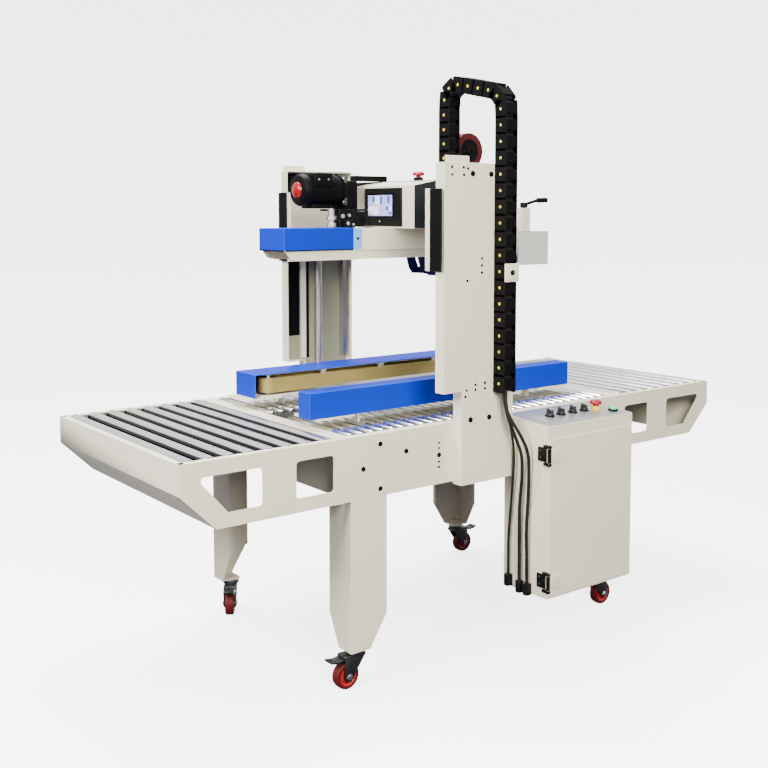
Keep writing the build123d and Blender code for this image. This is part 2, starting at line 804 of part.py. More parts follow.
def control_cabinet():
    """Welded case with its desk plate, back plate with switchgear, hinge pins and glands."""
    case = plate_yz(cabinet_section(0), cabinet_left, cabinet_right)
    wall = cabinet_wall
    case -= plate_yz(cabinet_section(wall), cabinet_left + wall, cabinet_right - wall)
    case -= block(
        (cabinet_left + 12, cabinet_right - 12),
        (cabinet_front - 1, cabinet_front + wall + 1),
        (door_bottom + 10, door_top - 10),
    )
    back = cabinet_back - wall
    gear = block((cabinet_left + 20, cabinet_right - 20), (back - 3, back), (cabinet_bottom + 20, 630))
    for x, z, width, height in ((70, 480, 90, 110), (190, 500, 70, 90), (290, 480, 70, 120), (80, 300, 260, 60)):
        gear += block((x, x + width), (back - 60, back - 3), (z, z + height))
    for bottom in hinge_places:
        case += cabinet_hinge_pin(bottom)
    case += gear
    for y, top in ((cable_a[-1][1], cable_a[-1][2]), (cable_b[-1][1], cable_b[-1][2])):
        case += cable_seat(y, top)
    case += cable_seat(cable_c[-1][1], cable_c[-1][2])
    plate_reach = (cabinet_back - cabinet_front) / 2 - 3
    half_plate = (cabinet_right - cabinet_left) / 2 - 4
    middle_x = (cabinet_right + cabinet_left) / 2
    plate = on_desk(middle_x, desk_middle_y, plate_thick / 2) * Box(2 * half_plate, 2 * plate_reach, plate_thick)
    for x in knob_places:
        plate += on_desk(x, control_row, plate_thick + 1.5) * Cylinder(knob_radius + 3, 3)
    plate += on_desk(stop_x, control_row, plate_thick + collar_height / 2) * (
        Cylinder(stop_head_radius - 4, collar_height) - Cylinder(8.5, collar_height)
    )
    plate += on_desk(start_x, start_y, plate_thick + 3) * (Cylinder(15, 6) - Cylinder(11.5, 6))
    return [case, plate]


def cabinet_door():
    """Door plate with a leaf and knuckle at each hinge."""
    front = hinge_y + 0.7
    inner = cabinet_front - clear
    door = block(
        (cabinet_left + door_margin, cabinet_right - door_margin), (inner - sheet, inner), (door_bottom, door_top)
    )
    for bottom in hinge_places:
        span = (bottom + clear, bottom + hinge_height - clear)
        leaf = block((hinge_x, hinge_x + 46), (front, inner - sheet), span)
        height = hinge_height - 2 * clear
        knuckle = rod("z", (hinge_x, hinge_y, bottom + hinge_height / 2), hinge_pin + 2.5, height)
        door += leaf + knuckle
        door -= rod("z", (hinge_x, hinge_y, bottom + hinge_height / 2), hinge_pin + running, hinge_height)
    return door


def selector_knob(x):
    base = plate_thick + 3.5
    knob = on_desk(x, control_row, base + 4) * Cylinder(knob_radius, 8)
    grip = on_desk(x, control_row, base + 3 + knob_height / 2) * Box(8, 2 * knob_radius - 1, knob_height - 6)
    return knob + grip


def stop_button(place):
    """Mushroom button on a stem. place gives a spot at a height above the mounting face."""
    head_base = collar_height + stop_travel + 1
    head = place(head_base + stop_head_height / 2) * Cylinder(stop_head_radius, stop_head_height)
    head = fillet(head.edges(), 3)
    stem_bottom = stop_travel + 1
    return head + place((stem_bottom + head_base) / 2) * Cylinder(8, head_base - stem_bottom)


def head_stop_collar():
    collar = Cylinder(15, collar_height) - Cylinder(8.5, collar_height)
    return Pos(head_stop_x, head_stop_y, crossbeam_top + collar_height / 2) * collar


def start_button():
    base = plate_thick + start_travel + 1
    return on_desk(start_x, start_y, base + 4) * Cylinder(11, 8)


# ---- cables -----------------------------------------------------------------------------

cable_radius = {"a": 5.0, "b": 5.0, "c": 4.0}
cable_a = [
    (-34, -452, 782),
    (-34, -452, 745),
    (-22, -470, 700),
    (0, -488, 655),
    (20, -500, 605),
    (25, -497, 540),
    (28, -492, 460),
    (24, -489, 375),
    (27, -490, 290),
    (27, -490, 215),
]
cable_b = [
    (-19, -440, 782),
    (-19, -440, 742),
    (-9, -449, 692),
    (6, -463, 640),
    (21, -474, 590),
    (26, -468, 520),
    (24, -461, 440),
    (27, -458, 360),
    (26, -460, 285),
    (26, -460, 215),
]
cable_c = [
    (-7, -433, 782),
    (-7, -433, 745),
    (3, -434, 700),
    (15, -436, 650),
    (24, -437, 595),
    (25, -434, 535),
    (26, -427, 470),
    (28, -418, 400),
    (27, -413, 330),
    (28, -412, 272),
    (28, -412, 222),
]


def corner_radii(points):
    """As large an arc at each corner as its two runs allow."""
    radii = []
    for before, here, after in zip(points, points[1:], points[2:]):
        run_in = Vector(*here) - Vector(*before)
        run_out = Vector(*after) - Vector(*here)
        half_turn = math.radians(run_in.get_angle(run_out)) / 2
        radii.append(0.45 * min(run_in.length, run_out.length) / math.tan(half_turn))
    return radii


def cable(name, points):
    radii = corner_radii(points)
    path = FilletPolyline(*points, radius=radii)
    radius = cable_radius[name]
    tube = sweep(Plane(origin=path @ 0, z_dir=path % 0) * Circle(radius), path=path)
    expected = math.pi * radius ** 2 * path.length
    print(
        "cable", name, "length %.0f mm" % path.length, "least radius %.0f mm" % min(radii),
        "volume / (section x length) %.4f" % (tube.volume / expected),
    )
    return tube


# ---- casters ----------------------------------------------------------------------------

def caster_place(name):
    side_x = -1 if name.startswith("infeed") else 1
    side_y = -1 if name.endswith("near") else 1
    x = side_x * (half_body - caster_inset)
    y = side_y * (half_width - caster_inset)
    return Pos(x, y, 0) * Rot(0, 0, caster_headings[name])


def caster_fork():
    """Fork with its king pin, axle and brake pedal, trailing along +X."""
    crown_top = leg_bottom - clear
    fork = rod("z", (0, 0, (crown_top + 96) / 2), 27, crown_top - 96)
    fork += rod("z", (0, 0, (96 + leg_bottom + foot_thick) / 2), kingpin_radius, leg_bottom + foot_thick - 96)
    cheek_gap = wheel_width / 2 + 2
    fork += block((-24, caster_trail + 14), (-cheek_gap - 3, cheek_gap + 3), (86, 96))
    cheek_points = [
        (-22, 86),
        (caster_trail + 12, 86),
        (caster_trail + 15, wheel_radius + 6),
        (caster_trail + 8, wheel_radius - 13),
        (caster_trail - 9, wheel_radius - 13),
    ]
    cheek = plate_xz(cheek_points, -cheek_gap - 3, -cheek_gap, 3)
    fork += cheek + far_side(cheek)
    fork += rod("y", (caster_trail, 0, wheel_radius), axle_radius, 2 * cheek_gap + 14)
    pedal = [
        (caster_trail + 10, 90),
        (caster_trail + 10, 84),
        (caster_trail + 34, 80),
        (caster_trail + 58, 86),
        (caster_trail + 60, 92),
        (caster_trail + 34, 87),
    ]
    return fork + plate_xz(pedal, -17, 17)


def caster_wheel():
    wheel = rod("y", (caster_trail, 0, wheel_radius), wheel_radius, wheel_width)
    wheel = fillet(wheel.edges(), 3)
    return wheel - rod("y", (caster_trail, 0, wheel_radius), axle_radius + running, wheel_width + 2)


# ---- fasteners --------------------------------------------------------------------------

panel_bolts = ((-430, 671), (-340, 639), (-487, 610), (-430, 548), (430, 671), (487, 610), (430, 548))
panel_screws = ((-221, 646), (-221, 631), (-221, 592), (-221, 577))
column_bolts = ((-135, 707), (-63, 707), (-132, 1404), (-62, 1404))
column_screws = ((-155, 775), (-151, 793), (-117, 806), (-117, 792), (-80, 808), (-80, 792))
column_top_screws = ((-209, 1421), (-209, 1400), (-166, 1421), (-165, 1400), (-150, 1418))
column_rail_screws = ((-95, 1166), (-95, 1146), (-95, 1125), (-150, 1104))


def fasteners():
    """Screw heads on the near side and the same on the far side."""
    near = []
    for x, z in panel_bolts:
        near.append(rod("y", (x, -half_width - 2, z), 7, 4))
    near.append(rod("y", (-221, -half_width - 2, 611), 6, 4))
    for x, z in panel_screws:
        near.append(rod("y", (x, -half_width - 1, z), 3.5, 2))
    for x, z in column_bolts:
        near.append(rod("y", (x, -column_face - 2, z), 8, 4))
    for x, z in column_screws + column_top_screws + column_rail_screws:
        near.append(rod("y", (x, -column_face - 1, z), 4, 2))
    heads = near + [far_side(head) for head in near]
    for side in (-1, 1):
        heads.append(rod("x", (-half_body - 2, side * 210, 640), 7, 4))
        heads.append(rod("x", (half_body + 2, side * 210, 640), 7, 4))
    heads.append(rod("y", ((chain_left + chain_right) / 2, chain_near - chain_thick / 2 - 7, 1125), 8, 4))
    return heads


# ---- build ------------------------------------------------------------------------------

os.makedirs("parts", exist_ok=True)

panel = side_panel()
write("near_side_panel", *panel)
write("far_side_panel", *[far_side(plate) for plate in panel])
infeed = table_frame()
write("infeed_table_frame", *infeed)
write("outfeed_table_frame", *[outfeed_side(plate) for plate in infeed])
corner = leg()
write("legs", corner, far_side(corner), outfeed_side(corner), outfeed_side(far_side(corner)))
crossing = cross_panel()
write("cross_panels", *crossing, *[outfeed_side(plate) for plate in crossing])
write("bed_subframe", *bed_subframe())
write("bed_rollers", *bed_rollers())
rollers = table_rollers()
write("table_rollers", *rollers, *[outfeed_side(roller) for roller in rollers])
post = column()
write("near_column", *post, column_tab())
write("far_column", *[far_side(plate) for plate in post], far_side(column_tab()))
guides = lift_guides()
write("lift_guides", guides, far_side(guides))
write("lower_tape_unit", lower_tape_unit())
write("lower_tape_roll", lower_tape_roll())
write("control_cabinet", *control_cabinet())
write("cabinet_door", cabinet_door())
for number, x in enumerate(knob_places, 1):
    write("selector_knob_%d" % number, selector_knob(x))
write("cabinet_stop_button", stop_button(lambda height: on_desk(stop_x, control_row, plate_thick + height)))
write("start_button", start_button())
write("drag_chain_fixed_run", drag_chain_run(chain_near, chain_bottom, chain_loop_height))
write("drag_chain_loop", drag_chain_loop())
write("drag_chain_moving_run", drag_chain_run(chain_far, crossbeam_top, chain_loop_height))
write("tower_cable_outer", cable("a", cable_a))
write("tower_cable_inner", cable("b", cable_b))
write("sensor_cable", cable("c", cable_c))
write("fasteners", chain_clamp(), *fasteners())
write("head_beam", *head_beam(), clamp_lever_seat())
write("beam_covers", *beam_covers())
write("head_carriage", head_carriage())
write("head_brackets", *head_brackets(), head_stop_collar())
write("hmi_box", hmi_box())
write("touch_screen", touch_screen())
write("lift_motor", lift_motor())
write("lift_shaft", lift_shaft())
write("head_stop_button", stop_button(lambda height: Pos(head_stop_x, head_stop_y, crossbeam_top + height)))
write("front_wipe_arm", wipe_arm(front_arm_pivot))
write("rear_wipe_arm", wipe_arm(rear_arm_pivot))
write("tape_roll", tape_roll())
write("clamp_lever", clamp_lever())
drive = drive_frame()
write("near_drive_frame", drive)
write("far_drive_frame", far_side(drive))
write("near_drive_cover", drive_cover(near_cover_start, -drive_outer + near_cover_width, False))
write("far_drive_cover", far_side(drive_cover(far_cover_start, -belt_face - 6, True)))
belt = drive_belt()
write("near_drive_belt", belt)
write("far_drive_belt", far_side(belt))
for end, x in (("idler", pulley_in_x), ("drive", pulley_out_x)):
    pulley = drive_pulley(x)
    write("near_%s_pulley" % end, pulley)
    write("far_%s_pulley" % end, far_side(pulley))
fork = caster_fork()
wheel = caster_wheel()
for name in caster_headings:
    write("caster_fork_" + name, caster_place(name) * fork)
    write("caster_wheel_" + name, caster_place(name) * wheel)
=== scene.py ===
# %% [markdown]
# # A carton sealer machine in Blender
# A carton sealer is a roller bed with two driven side belts and a tape head that rides up and
# down on two columns. The engineering model gives every plate its place, and this lesson adds
# what a drawing leaves out: soft edges, turned parts, chain links, screws and finishes.
# Everything is in metres: +X is the way cartons travel, +Z is up and -Y is the operator's side.

# %% Load the engineering model
import math

import bmesh
import bpy
from mathutils import Matrix, Vector


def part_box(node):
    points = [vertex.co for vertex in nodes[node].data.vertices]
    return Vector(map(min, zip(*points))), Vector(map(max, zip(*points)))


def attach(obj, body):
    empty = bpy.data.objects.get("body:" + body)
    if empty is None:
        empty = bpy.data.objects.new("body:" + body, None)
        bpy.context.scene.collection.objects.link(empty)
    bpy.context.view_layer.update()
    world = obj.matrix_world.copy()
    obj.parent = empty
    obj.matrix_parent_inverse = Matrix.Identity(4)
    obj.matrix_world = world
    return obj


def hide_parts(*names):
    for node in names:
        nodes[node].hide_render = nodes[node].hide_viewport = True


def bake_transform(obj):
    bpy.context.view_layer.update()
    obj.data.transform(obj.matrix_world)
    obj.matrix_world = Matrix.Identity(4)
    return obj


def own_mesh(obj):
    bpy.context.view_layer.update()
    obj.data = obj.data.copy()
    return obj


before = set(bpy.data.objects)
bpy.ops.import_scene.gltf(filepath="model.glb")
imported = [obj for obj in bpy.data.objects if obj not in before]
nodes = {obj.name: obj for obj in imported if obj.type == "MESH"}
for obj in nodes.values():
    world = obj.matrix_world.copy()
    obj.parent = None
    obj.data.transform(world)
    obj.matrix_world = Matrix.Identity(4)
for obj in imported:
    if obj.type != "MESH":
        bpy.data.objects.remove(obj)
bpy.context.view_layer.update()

# %% [markdown]
# ## Camera
# A camera far from the machine with a 49 mm lens keeps upright edges nearly parallel. The small
# vertical shift frames the tall machine without tilting the camera further, as a view camera
# does in product work.

# %% Camera
camera_data = bpy.data.cameras.new("camera")
camera_data.lens = 49.495
camera_data.sensor_width = 36.0
camera_data.shift_y = -0.1224
camera = bpy.data.objects.new("camera", camera_data)
bpy.context.scene.collection.objects.link(camera)
heading, tilt = math.radians(-37.54), math.radians(-4.21)
forward = Vector((-math.sin(heading) * math.cos(tilt), math.cos(heading) * math.cos(tilt), math.sin(tilt)))
camera.location = (-2.14016, -2.62648, 1.29618)
camera.rotation_euler = forward.to_track_quat("-Z", "Y").to_euler()
bpy.context.scene.camera = camera
print("camera looks along", [round(c, 3) for c in forward])

# %% [markdown]
# ## Cables
# Three black cables leave the drag chain and hang in an easy curve down to the glands on the
# cabinet's side. A cable is one smooth curve with a round section, so each is a NURBS spline
# through a handful of control points. The order is set once the points exist, or it falls back.
# The thickness sits in each point's radius, which keeps the curve's own box as slim as the cable.

# %% Cables
def cable(name, points, diameter, node):
    data = bpy.data.curves.new(name, "CURVE")
    data.dimensions = "3D"
    data.bevel_depth = 1.0
    data.bevel_resolution = 5
    data.use_fill_caps = True
    spline = data.splines.new("NURBS")
    spline.points.add(len(points) - 1)
    for point, place in zip(spline.points, points):
        point.co = (place[0], place[1], place[2], 1.0)
        point.radius = diameter / 2
    spline.order_u = 3
    spline.use_endpoint_u = True
    spline.resolution_u = 12
    piece = bpy.data.objects.new(name, data)
    bpy.context.scene.collection.objects.link(piece)
    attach(piece, "frame")
    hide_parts(node)
    return piece


cables = [
    cable("outer_cable", [
        (-0.034, -0.452, 0.782), (-0.034, -0.452, 0.745), (-0.022, -0.470, 0.700), (0.000, -0.488, 0.655),
        (0.020, -0.500, 0.605), (0.025, -0.497, 0.540), (0.028, -0.492, 0.460), (0.024, -0.489, 0.375),
        (0.027, -0.490, 0.290), (0.027, -0.490, 0.215)], 0.010, "tower_cable_outer"),
    cable("inner_cable", [
        (-0.019, -0.440, 0.782), (-0.019, -0.440, 0.742), (-0.009, -0.449, 0.692), (0.006, -0.463, 0.640),
        (0.021, -0.474, 0.590), (0.026, -0.468, 0.520), (0.024, -0.461, 0.440), (0.027, -0.458, 0.360),
        (0.026, -0.460, 0.285), (0.026, -0.460, 0.215)], 0.010, "tower_cable_inner"),
    cable("thin_cable", [
        (-0.007, -0.433, 0.782), (-0.007, -0.433, 0.745), (0.003, -0.434, 0.700), (0.015, -0.436, 0.650),
        (0.024, -0.437, 0.595), (0.025, -0.434, 0.535), (0.026, -0.427, 0.470), (0.028, -0.418, 0.400),
        (0.027, -0.413, 0.330), (0.028, -0.412, 0.272), (0.028, -0.412, 0.222)], 0.008, "sensor_cable"),
]
print("cables", [c.name for c in cables])

# %% [markdown]
# ## Finishes
# Shader arithmetic reads best as Python, so a small class wraps one output socket and turns
# `a * 2 + b` into Math nodes. A second class holds one material and adds any other node from
# its type, its settings and the values or links of its sockets.

# %% Shader arithmetic
class Signal:
    """One value in a material; arithmetic on it adds Math nodes."""

    def __init__(self, finish, socket):
        self.finish, self.socket = finish, socket

    def math(self, operation, first, second):
        return self.finish.add("ShaderNodeMath", {"operation": operation}, {0: first, 1: second})

    def __add__(self, other):
        return self.math("ADD", self, other)

    def __mul__(self, other):
        return self.math("MULTIPLY", self, other)

    __radd__, __rmul__ = __add__, __mul__


class Finish:
    """A material under construction, with its Principled shader."""

    def __init__(self, name, colour, roughness, metallic=0.0, **fixed):
        self.material = bpy.data.materials.new(name)
        self.material.use_nodes = True
        self.tree = self.material.node_tree
        self.shader = self.tree.nodes["Principled BSDF"]
        self.shader.inputs["Base Color"].default_value = (*colour, 1.0)
        self.shader.inputs["Roughness"].default_value = roughness
        self.shader.inputs["Metallic"].default_value = metallic
        for socket, value in fixed.items():
            self.shader.inputs[socket.replace("_", " ")].default_value = value

    def add(self, kind, settings=None, values=None, output=0):
        node = self.tree.nodes.new(kind)
        for key, value in (settings or {}).items():
            if key == "stops":
                for stop, (where, shade) in zip(node.color_ramp.elements, value):
                    stop.position, stop.color = where, (*shade, 1.0)
            else:
                setattr(node, key, value)
        for key, value in (values or {}).items():
            self.feed(node.inputs[key], value)
        return Signal(self, node.outputs[output])

    def feed(self, socket, value):
        if isinstance(value, Signal):
            self.tree.links.new(value.socket, socket)
        else:
            socket.default_value = value

    def drive(self, socket, value):
        self.feed(self.shader.inputs[socket], value)

    def place(self, scale=(1, 1, 1), move=(0, 0, 0), turn=(0, 0, 0)):
        """Object coordinates in metres, scaled, moved and turned."""
        here = self.add("ShaderNodeTexCoord", output=3)
        return self.add("ShaderNodeMapping", {},
                        {"Vector": here, "Scale": scale, "Location": move, "Rotation": turn})

    def noise(self, scale, detail=3.0, stretch=(1, 1, 1)):
        return self.add("ShaderNodeTexNoise", {},
                        {"Vector": self.place(stretch), "Scale": scale, "Detail": detail})

    def blend(self, factor, first, second):
        """A mix of two colours."""
        return self.add("ShaderNodeMix", {"data_type": "RGBA"},
                        {0: factor, 6: first if isinstance(first, Signal) else (*first, 1.0),
                         7: second if isinstance(second, Signal) else (*second, 1.0)}, output=2)

    def bump(self, height, distance, strength=1.0):
        self.drive("Normal", self.add("ShaderNodeBump", {},
                                      {"Height": height, "Distance": distance, "Strength": strength}))


print("shader helpers ready")

# %% [markdown]
# ### Powder coat
# Powder coat is a plastic skin baked on the sheet. Close up it has the fine ripple of orange
# peel about a millimetre wide; from further off its tone drifts a little and handling leaves
# slightly duller patches. One function makes all the coated colours.

# %% Powder coats
def powder_coat(name, colour, roughness, coat=0.0, drift=0.06, specular=0.5):
    finish = Finish(name, colour, roughness, Coat_Roughness=0.25, Specular_IOR_Level=specular)
    finish.shader.inputs["Coat Weight"].default_value = coat
    cloud = finish.noise(4.0, 4.0)
    dusty = tuple(c * (1 - 2 * drift) for c in colour)
    bright = tuple(min(1.0, c * (1 + drift)) for c in colour)
    finish.drive("Base Color", finish.blend(cloud, dusty, bright))
    rubbed = finish.noise(28.0, 5.0)
    finish.drive("Roughness", rubbed * 0.14 + (roughness - 0.07))
    finish.bump(finish.noise(900.0, 2.0), 0.00012, 0.35)
    return finish.material


cream_coat = powder_coat("cream_coat", (0.70, 0.66, 0.52), 0.42, drift=0.03, specular=0.3)
# The edge finishes are brighter and glossier than their coats: a painted highlight on bevelled edges.
cream_edge_highlight = powder_coat("cream_edge_highlight", (0.80, 0.77, 0.66), 0.34, drift=0.02)
blue_coat = powder_coat("blue_coat", (0.0, 0.022, 0.40), 0.42, specular=0.06)
blue_edge_highlight = powder_coat("blue_edge_highlight", (0.0, 0.06, 0.62), 0.34, specular=0.15)
pale_blue_coat = powder_coat("pale_blue_coat", (0.16, 0.36, 0.85), 0.40, specular=0.2)
navy_coat = powder_coat("navy_coat", (0.004, 0.005, 0.085), 0.45, specular=0.12)
black_coat = powder_coat("black_coat", (0.002, 0.002, 0.0024), 0.52, specular=0.08)
black_edge_highlight = powder_coat("black_edge_highlight", (0.012, 0.012, 0.014), 0.42, specular=0.2)
grey_coat = powder_coat("grey_coat", (0.022, 0.026, 0.027), 0.50, specular=0.15)
carriage_coat = powder_coat("carriage_coat", (0.004, 0.004, 0.0035), 0.50, specular=0.10)
# recess_painted_shade is cream darkened to olive grey: painted shade on the inside wall of each column.
recess_painted_shade = powder_coat("recess_painted_shade", (0.27, 0.275, 0.19), 0.50, specular=0.2)
pale_grey_coat = powder_coat("pale_grey_coat", (0.52, 0.54, 0.53), 0.40)
print("powder coats ready")

# %% [markdown]
# ### Metals
# The rollers are bright zinc: turned tube, so the fine marks run round them and stretch the
# noise along Y. Ground rod, machined steel and the brushed desk plate use the same recipe with
# the grain turned another way. Bright rollers mirror what is round them, pale above and dark
# below. The lights here give only part of that, so a map range also darkens the metal below a
# set height. That is painted shade, not something zinc does: it doesn't depend on the view, but
# it would be wrong on a roller that turned, and an exported model keeps it.

# %% Metals
def grained_metal(name, colour, roughness, stretch, scale=420.0, depth=0.00004, spread=0.18,
                  dark_below=None):
    finish = Finish(name, colour, roughness, 1.0)
    grain = finish.noise(scale, 4.0, stretch)
    cloud = finish.noise(9.0, 4.0)
    dull = tuple(c * 0.82 for c in colour)
    shade = finish.blend(cloud * 0.6 + grain * 0.4, dull, colour)
    if dark_below:
        here = finish.add("ShaderNodeTexCoord", output=3)
        height = finish.add("ShaderNodeSeparateXYZ", {}, {"Vector": here}, output=2)
        crown = finish.add("ShaderNodeMapRange", {"clamp": True},
                           {"Value": height + cloud * 0.0016, "From Min": dark_below,
                            "From Max": dark_below + 0.0022})
        shade = finish.blend(crown, (0.018, 0.018, 0.020), shade)
    finish.drive("Base Color", shade)
    finish.drive("Roughness", grain * spread + cloud * 0.10 + (roughness - spread / 2 - 0.05))
    finish.bump(grain, depth, 0.5)
    return finish.material


bright_zinc = grained_metal("bright_zinc", (0.95, 0.95, 0.94), 0.20, (0.5, 6.0, 0.5))
roller_zinc = grained_metal("roller_zinc", (0.97, 0.97, 0.96), 0.22, (0.5, 6.0, 0.5), dark_below=0.6972)
ground_steel = grained_metal("ground_steel", (0.62, 0.62, 0.61), 0.32, (1.0, 1.0, 0.12))
machined_steel = grained_metal("machined_steel", (0.50, 0.50, 0.50), 0.38, (1.0, 1.0, 1.0))
brushed_aluminium = grained_metal("brushed_aluminium", (0.60, 0.61, 0.62), 0.36, (0.05, 4.0, 4.0))
dark_steel = grained_metal("dark_steel", (0.12, 0.12, 0.125), 0.40, (1.0, 1.0, 1.0))
print("metals ready")

# %% [markdown]
# ### Plastics, rubbers and tape
# Moulded nylon has a fine spark-eroded grain; cast polyurethane is smoother and picks up dust
# and scuffs on its tread. The belt is woven and coated, so a fine cross weave shows. A roll of
# tape shows its layers as thin rings round its axis.

# %% Plastics and rubbers
def moulded(name, colour, roughness, grain=1400.0, depth=0.00008, dust=0.10, coat=0.0,
            specular=0.4):
    finish = Finish(name, colour, roughness, Coat_Roughness=0.08, Specular_IOR_Level=specular)
    finish.shader.inputs["Coat Weight"].default_value = coat
    cloud = finish.noise(24.0, 5.0)
    dusty = tuple(c * (1 - dust) + 0.12 * dust for c in colour)
    finish.drive("Base Color", finish.blend(cloud, colour, dusty))
    finish.drive("Roughness", cloud * 0.16 + (roughness - 0.08))
    finish.bump(finish.noise(grain, 2.0), depth, 0.4)
    return finish.material


chain_nylon = moulded("chain_nylon", (0.0015, 0.0015, 0.002), 0.52, dust=0.02, specular=0.07)
pin_yellow = moulded("pin_yellow", (0.62, 0.47, 0.02), 0.40, dust=0.04)
black_nylon = moulded("black_nylon", (0.002, 0.002, 0.0025), 0.44, dust=0.03, specular=0.12)
knob_black = moulded("knob_black", (0.012, 0.012, 0.014), 0.25, dust=0.05, coat=0.2)
signal_red = moulded("signal_red", (0.26, 0.0005, 0.002), 0.24, dust=0.02, coat=0.2, specular=0.3)
signal_yellow = moulded("signal_yellow", (0.80, 0.52, 0.01), 0.30, dust=0.03)
hub_red = moulded("hub_red", (0.36, 0.012, 0.010), 0.35, dust=0.05, specular=0.2)
tread_red = moulded("tread_red", (0.085, 0.004, 0.005), 0.50, grain=500.0, depth=0.0002, dust=0.08,
                    specular=0.15)
roll_red = moulded("roll_red", (0.14, 0.002, 0.004), 0.22, dust=0.02, coat=0.3, specular=0.2)
cable_black = moulded("cable_black", (0.004, 0.004, 0.005), 0.42, dust=0.06, specular=0.2)
seal_black = moulded("seal_black", (0.006, 0.006, 0.006), 0.55)
gear_grey = moulded("gear_grey", (0.45, 0.46, 0.47), 0.45)
for data in [c.data for c in cables]:
    data.materials.append(cable_black)

belt = Finish("olive_belt", (0.20, 0.15, 0.035), 0.62)
warp = belt.add("ShaderNodeTexWave", {"wave_type": "BANDS", "bands_direction": "X"},
                {"Vector": belt.place(), "Scale": 130.0, "Distortion": 0.4})
weft = belt.add("ShaderNodeTexWave", {"wave_type": "BANDS", "bands_direction": "Z"},
                {"Vector": belt.place(), "Scale": 130.0, "Distortion": 0.4})
belt.drive("Base Color", belt.blend(belt.noise(14.0, 5.0), (0.15, 0.11, 0.028), (0.30, 0.235, 0.07)))
belt.drive("Roughness", belt.noise(40.0) * 0.2 + 0.5)
belt.bump(warp * weft, 0.0002, 0.6)
olive_belt = belt.material

lens = Finish("green_lens", (0.02, 0.55, 0.16), 0.18, Coat_Weight=0.5, Emission_Strength=0.6)
lens_rings = lens.add("ShaderNodeTexNoise", {}, {"Vector": lens.place(), "Scale": 500.0})
lens.drive("Base Color", lens.blend(lens_rings, (0.01, 0.42, 0.12), (0.06, 0.70, 0.25)))
lens.drive("Emission Color", lens.blend(lens_rings, (0.01, 0.40, 0.10), (0.05, 0.60, 0.20)))
green_lens = lens.material

glass = Finish("screen_glass", (0.002, 0.002, 0.003), 0.12, Coat_Weight=0.15, Coat_Roughness=0.05,
               Specular_IOR_Level=0.12)
glass.drive("Roughness", glass.noise(60.0, 4.0) * 0.10 + 0.06)
screen_glass = glass.material


def tape_finish(name, axis_x, axis_z, dark, light):
    """Rings of wound tape about an axis along Y."""
    finish = Finish(name, dark, 0.30, Coat_Weight=0.3)
    rings = finish.add("ShaderNodeTexWave", {"wave_type": "RINGS", "rings_direction": "Y"},
                       {"Vector": finish.place(move=(-axis_x, 0, -axis_z)), "Scale": 260.0, "Distortion": 0.6})
    finish.drive("Base Color", finish.blend(rings, dark, light))
    finish.drive("Roughness", rings * 0.15 + 0.20)
    finish.bump(rings, 0.00015, 0.5)
    return finish.material


upper_tape = tape_finish("upper_tape", 0.213, 1.497, (0.030, 0.0015, 0.002), (0.105, 0.003, 0.006))
lower_tape = tape_finish("lower_tape", -0.030, 0.620, (0.030, 0.0015, 0.002), (0.105, 0.003, 0.006))
print("materials so far", len(bpy.data.materials))

# %% [markdown]
# ## Floor and light
# A pale floor that curves up into a wall all round, like a paper sweep, has no horizon line, so
# the eye stays on the machine. It glows a little to stay near white, and it is hidden from
# diffuse and glossy rays, or its light would fill the shade under the tables. The world is
# bright above and behind the machine and dark in front. Three large soft lights do the rest.

# %% Floor and light
paper = Finish("studio_paper", (0.90, 0.90, 0.90), 0.85, Emission_Color=(1.0, 1.0, 1.0, 1.0),
               Emission_Strength=3.5)
paper.drive("Base Color", paper.blend(paper.noise(2.0), (0.885, 0.885, 0.885), (0.91, 0.91, 0.91)))
bowl_build = bmesh.new()
rim = [bowl_build.verts.new((radius, 0, height)) for radius, height in
       ((0, 0), (5.5, 0), (7.0, 0.15), (8.2, 0.9), (8.8, 2.2), (9.0, 4.0), (9.0, 7.0))]
rim_lines = [bowl_build.edges.new(pair) for pair in zip(rim, rim[1:])]
bmesh.ops.spin(bowl_build, geom=rim + rim_lines, cent=(0, 0, 0), axis=(0, 0, 1), angle=math.tau, steps=96,
               use_merge=True)
bmesh.ops.remove_doubles(bowl_build, verts=bowl_build.verts, dist=1e-5)
bmesh.ops.recalc_face_normals(bowl_build, faces=bowl_build.faces)
bmesh.ops.reverse_faces(bowl_build, faces=bowl_build.faces)
bowl_mesh = bpy.data.meshes.new("studio_bowl")
bowl_build.to_mesh(bowl_mesh)
bowl_build.free()
bowl_mesh.shade_smooth()
bowl_mesh.materials.append(paper.material)
studio_bowl = bpy.data.objects.new("studio_bowl", bowl_mesh)
bpy.context.scene.collection.objects.link(studio_bowl)
studio_bowl.visible_diffuse = False
studio_bowl.visible_glossy = False

world = bpy.data.worlds.new("studio")
world.use_nodes = True
world_nodes, world_links = world.node_tree.nodes, world.node_tree.links
outward = world_nodes.new("ShaderNodeTexCoord")
facing = world_nodes.new("ShaderNodeVectorMath")
facing.operation = "DOT_PRODUCT"
facing.inputs[1].default_value = Vector((0.40, 0.52, 0.75)).normalized()
halved = world_nodes.new("ShaderNodeMath")
halved.operation = "MULTIPLY_ADD"
halved.inputs[1].default_value, halved.inputs[2].default_value = 0.5, 0.5
ramp = world_nodes.new("ShaderNodeValToRGB")
stops = ramp.color_ramp.elements
stops[0].position, stops[0].color = 0.28, (0.09, 0.078, 0.115, 1.0)
stops[1].position, stops[1].color = 1.0, (1.0, 1.0, 1.0, 1.0)
stops.new(0.50).color = (0.20, 0.195, 0.20, 1.0)
stops.new(0.63).color = (0.95, 0.95, 0.95, 1.0)
world_links.new(outward.outputs["Generated"], facing.inputs[0])
world_links.new(facing.outputs["Value"], halved.inputs[0])
world_links.new(halved.outputs[0], ramp.inputs["Fac"])
world_links.new(ramp.outputs["Color"], world_nodes["Background"].inputs["Color"])
world_nodes["Background"].inputs["Strength"].default_value = 1.35
bpy.context.scene.world = world


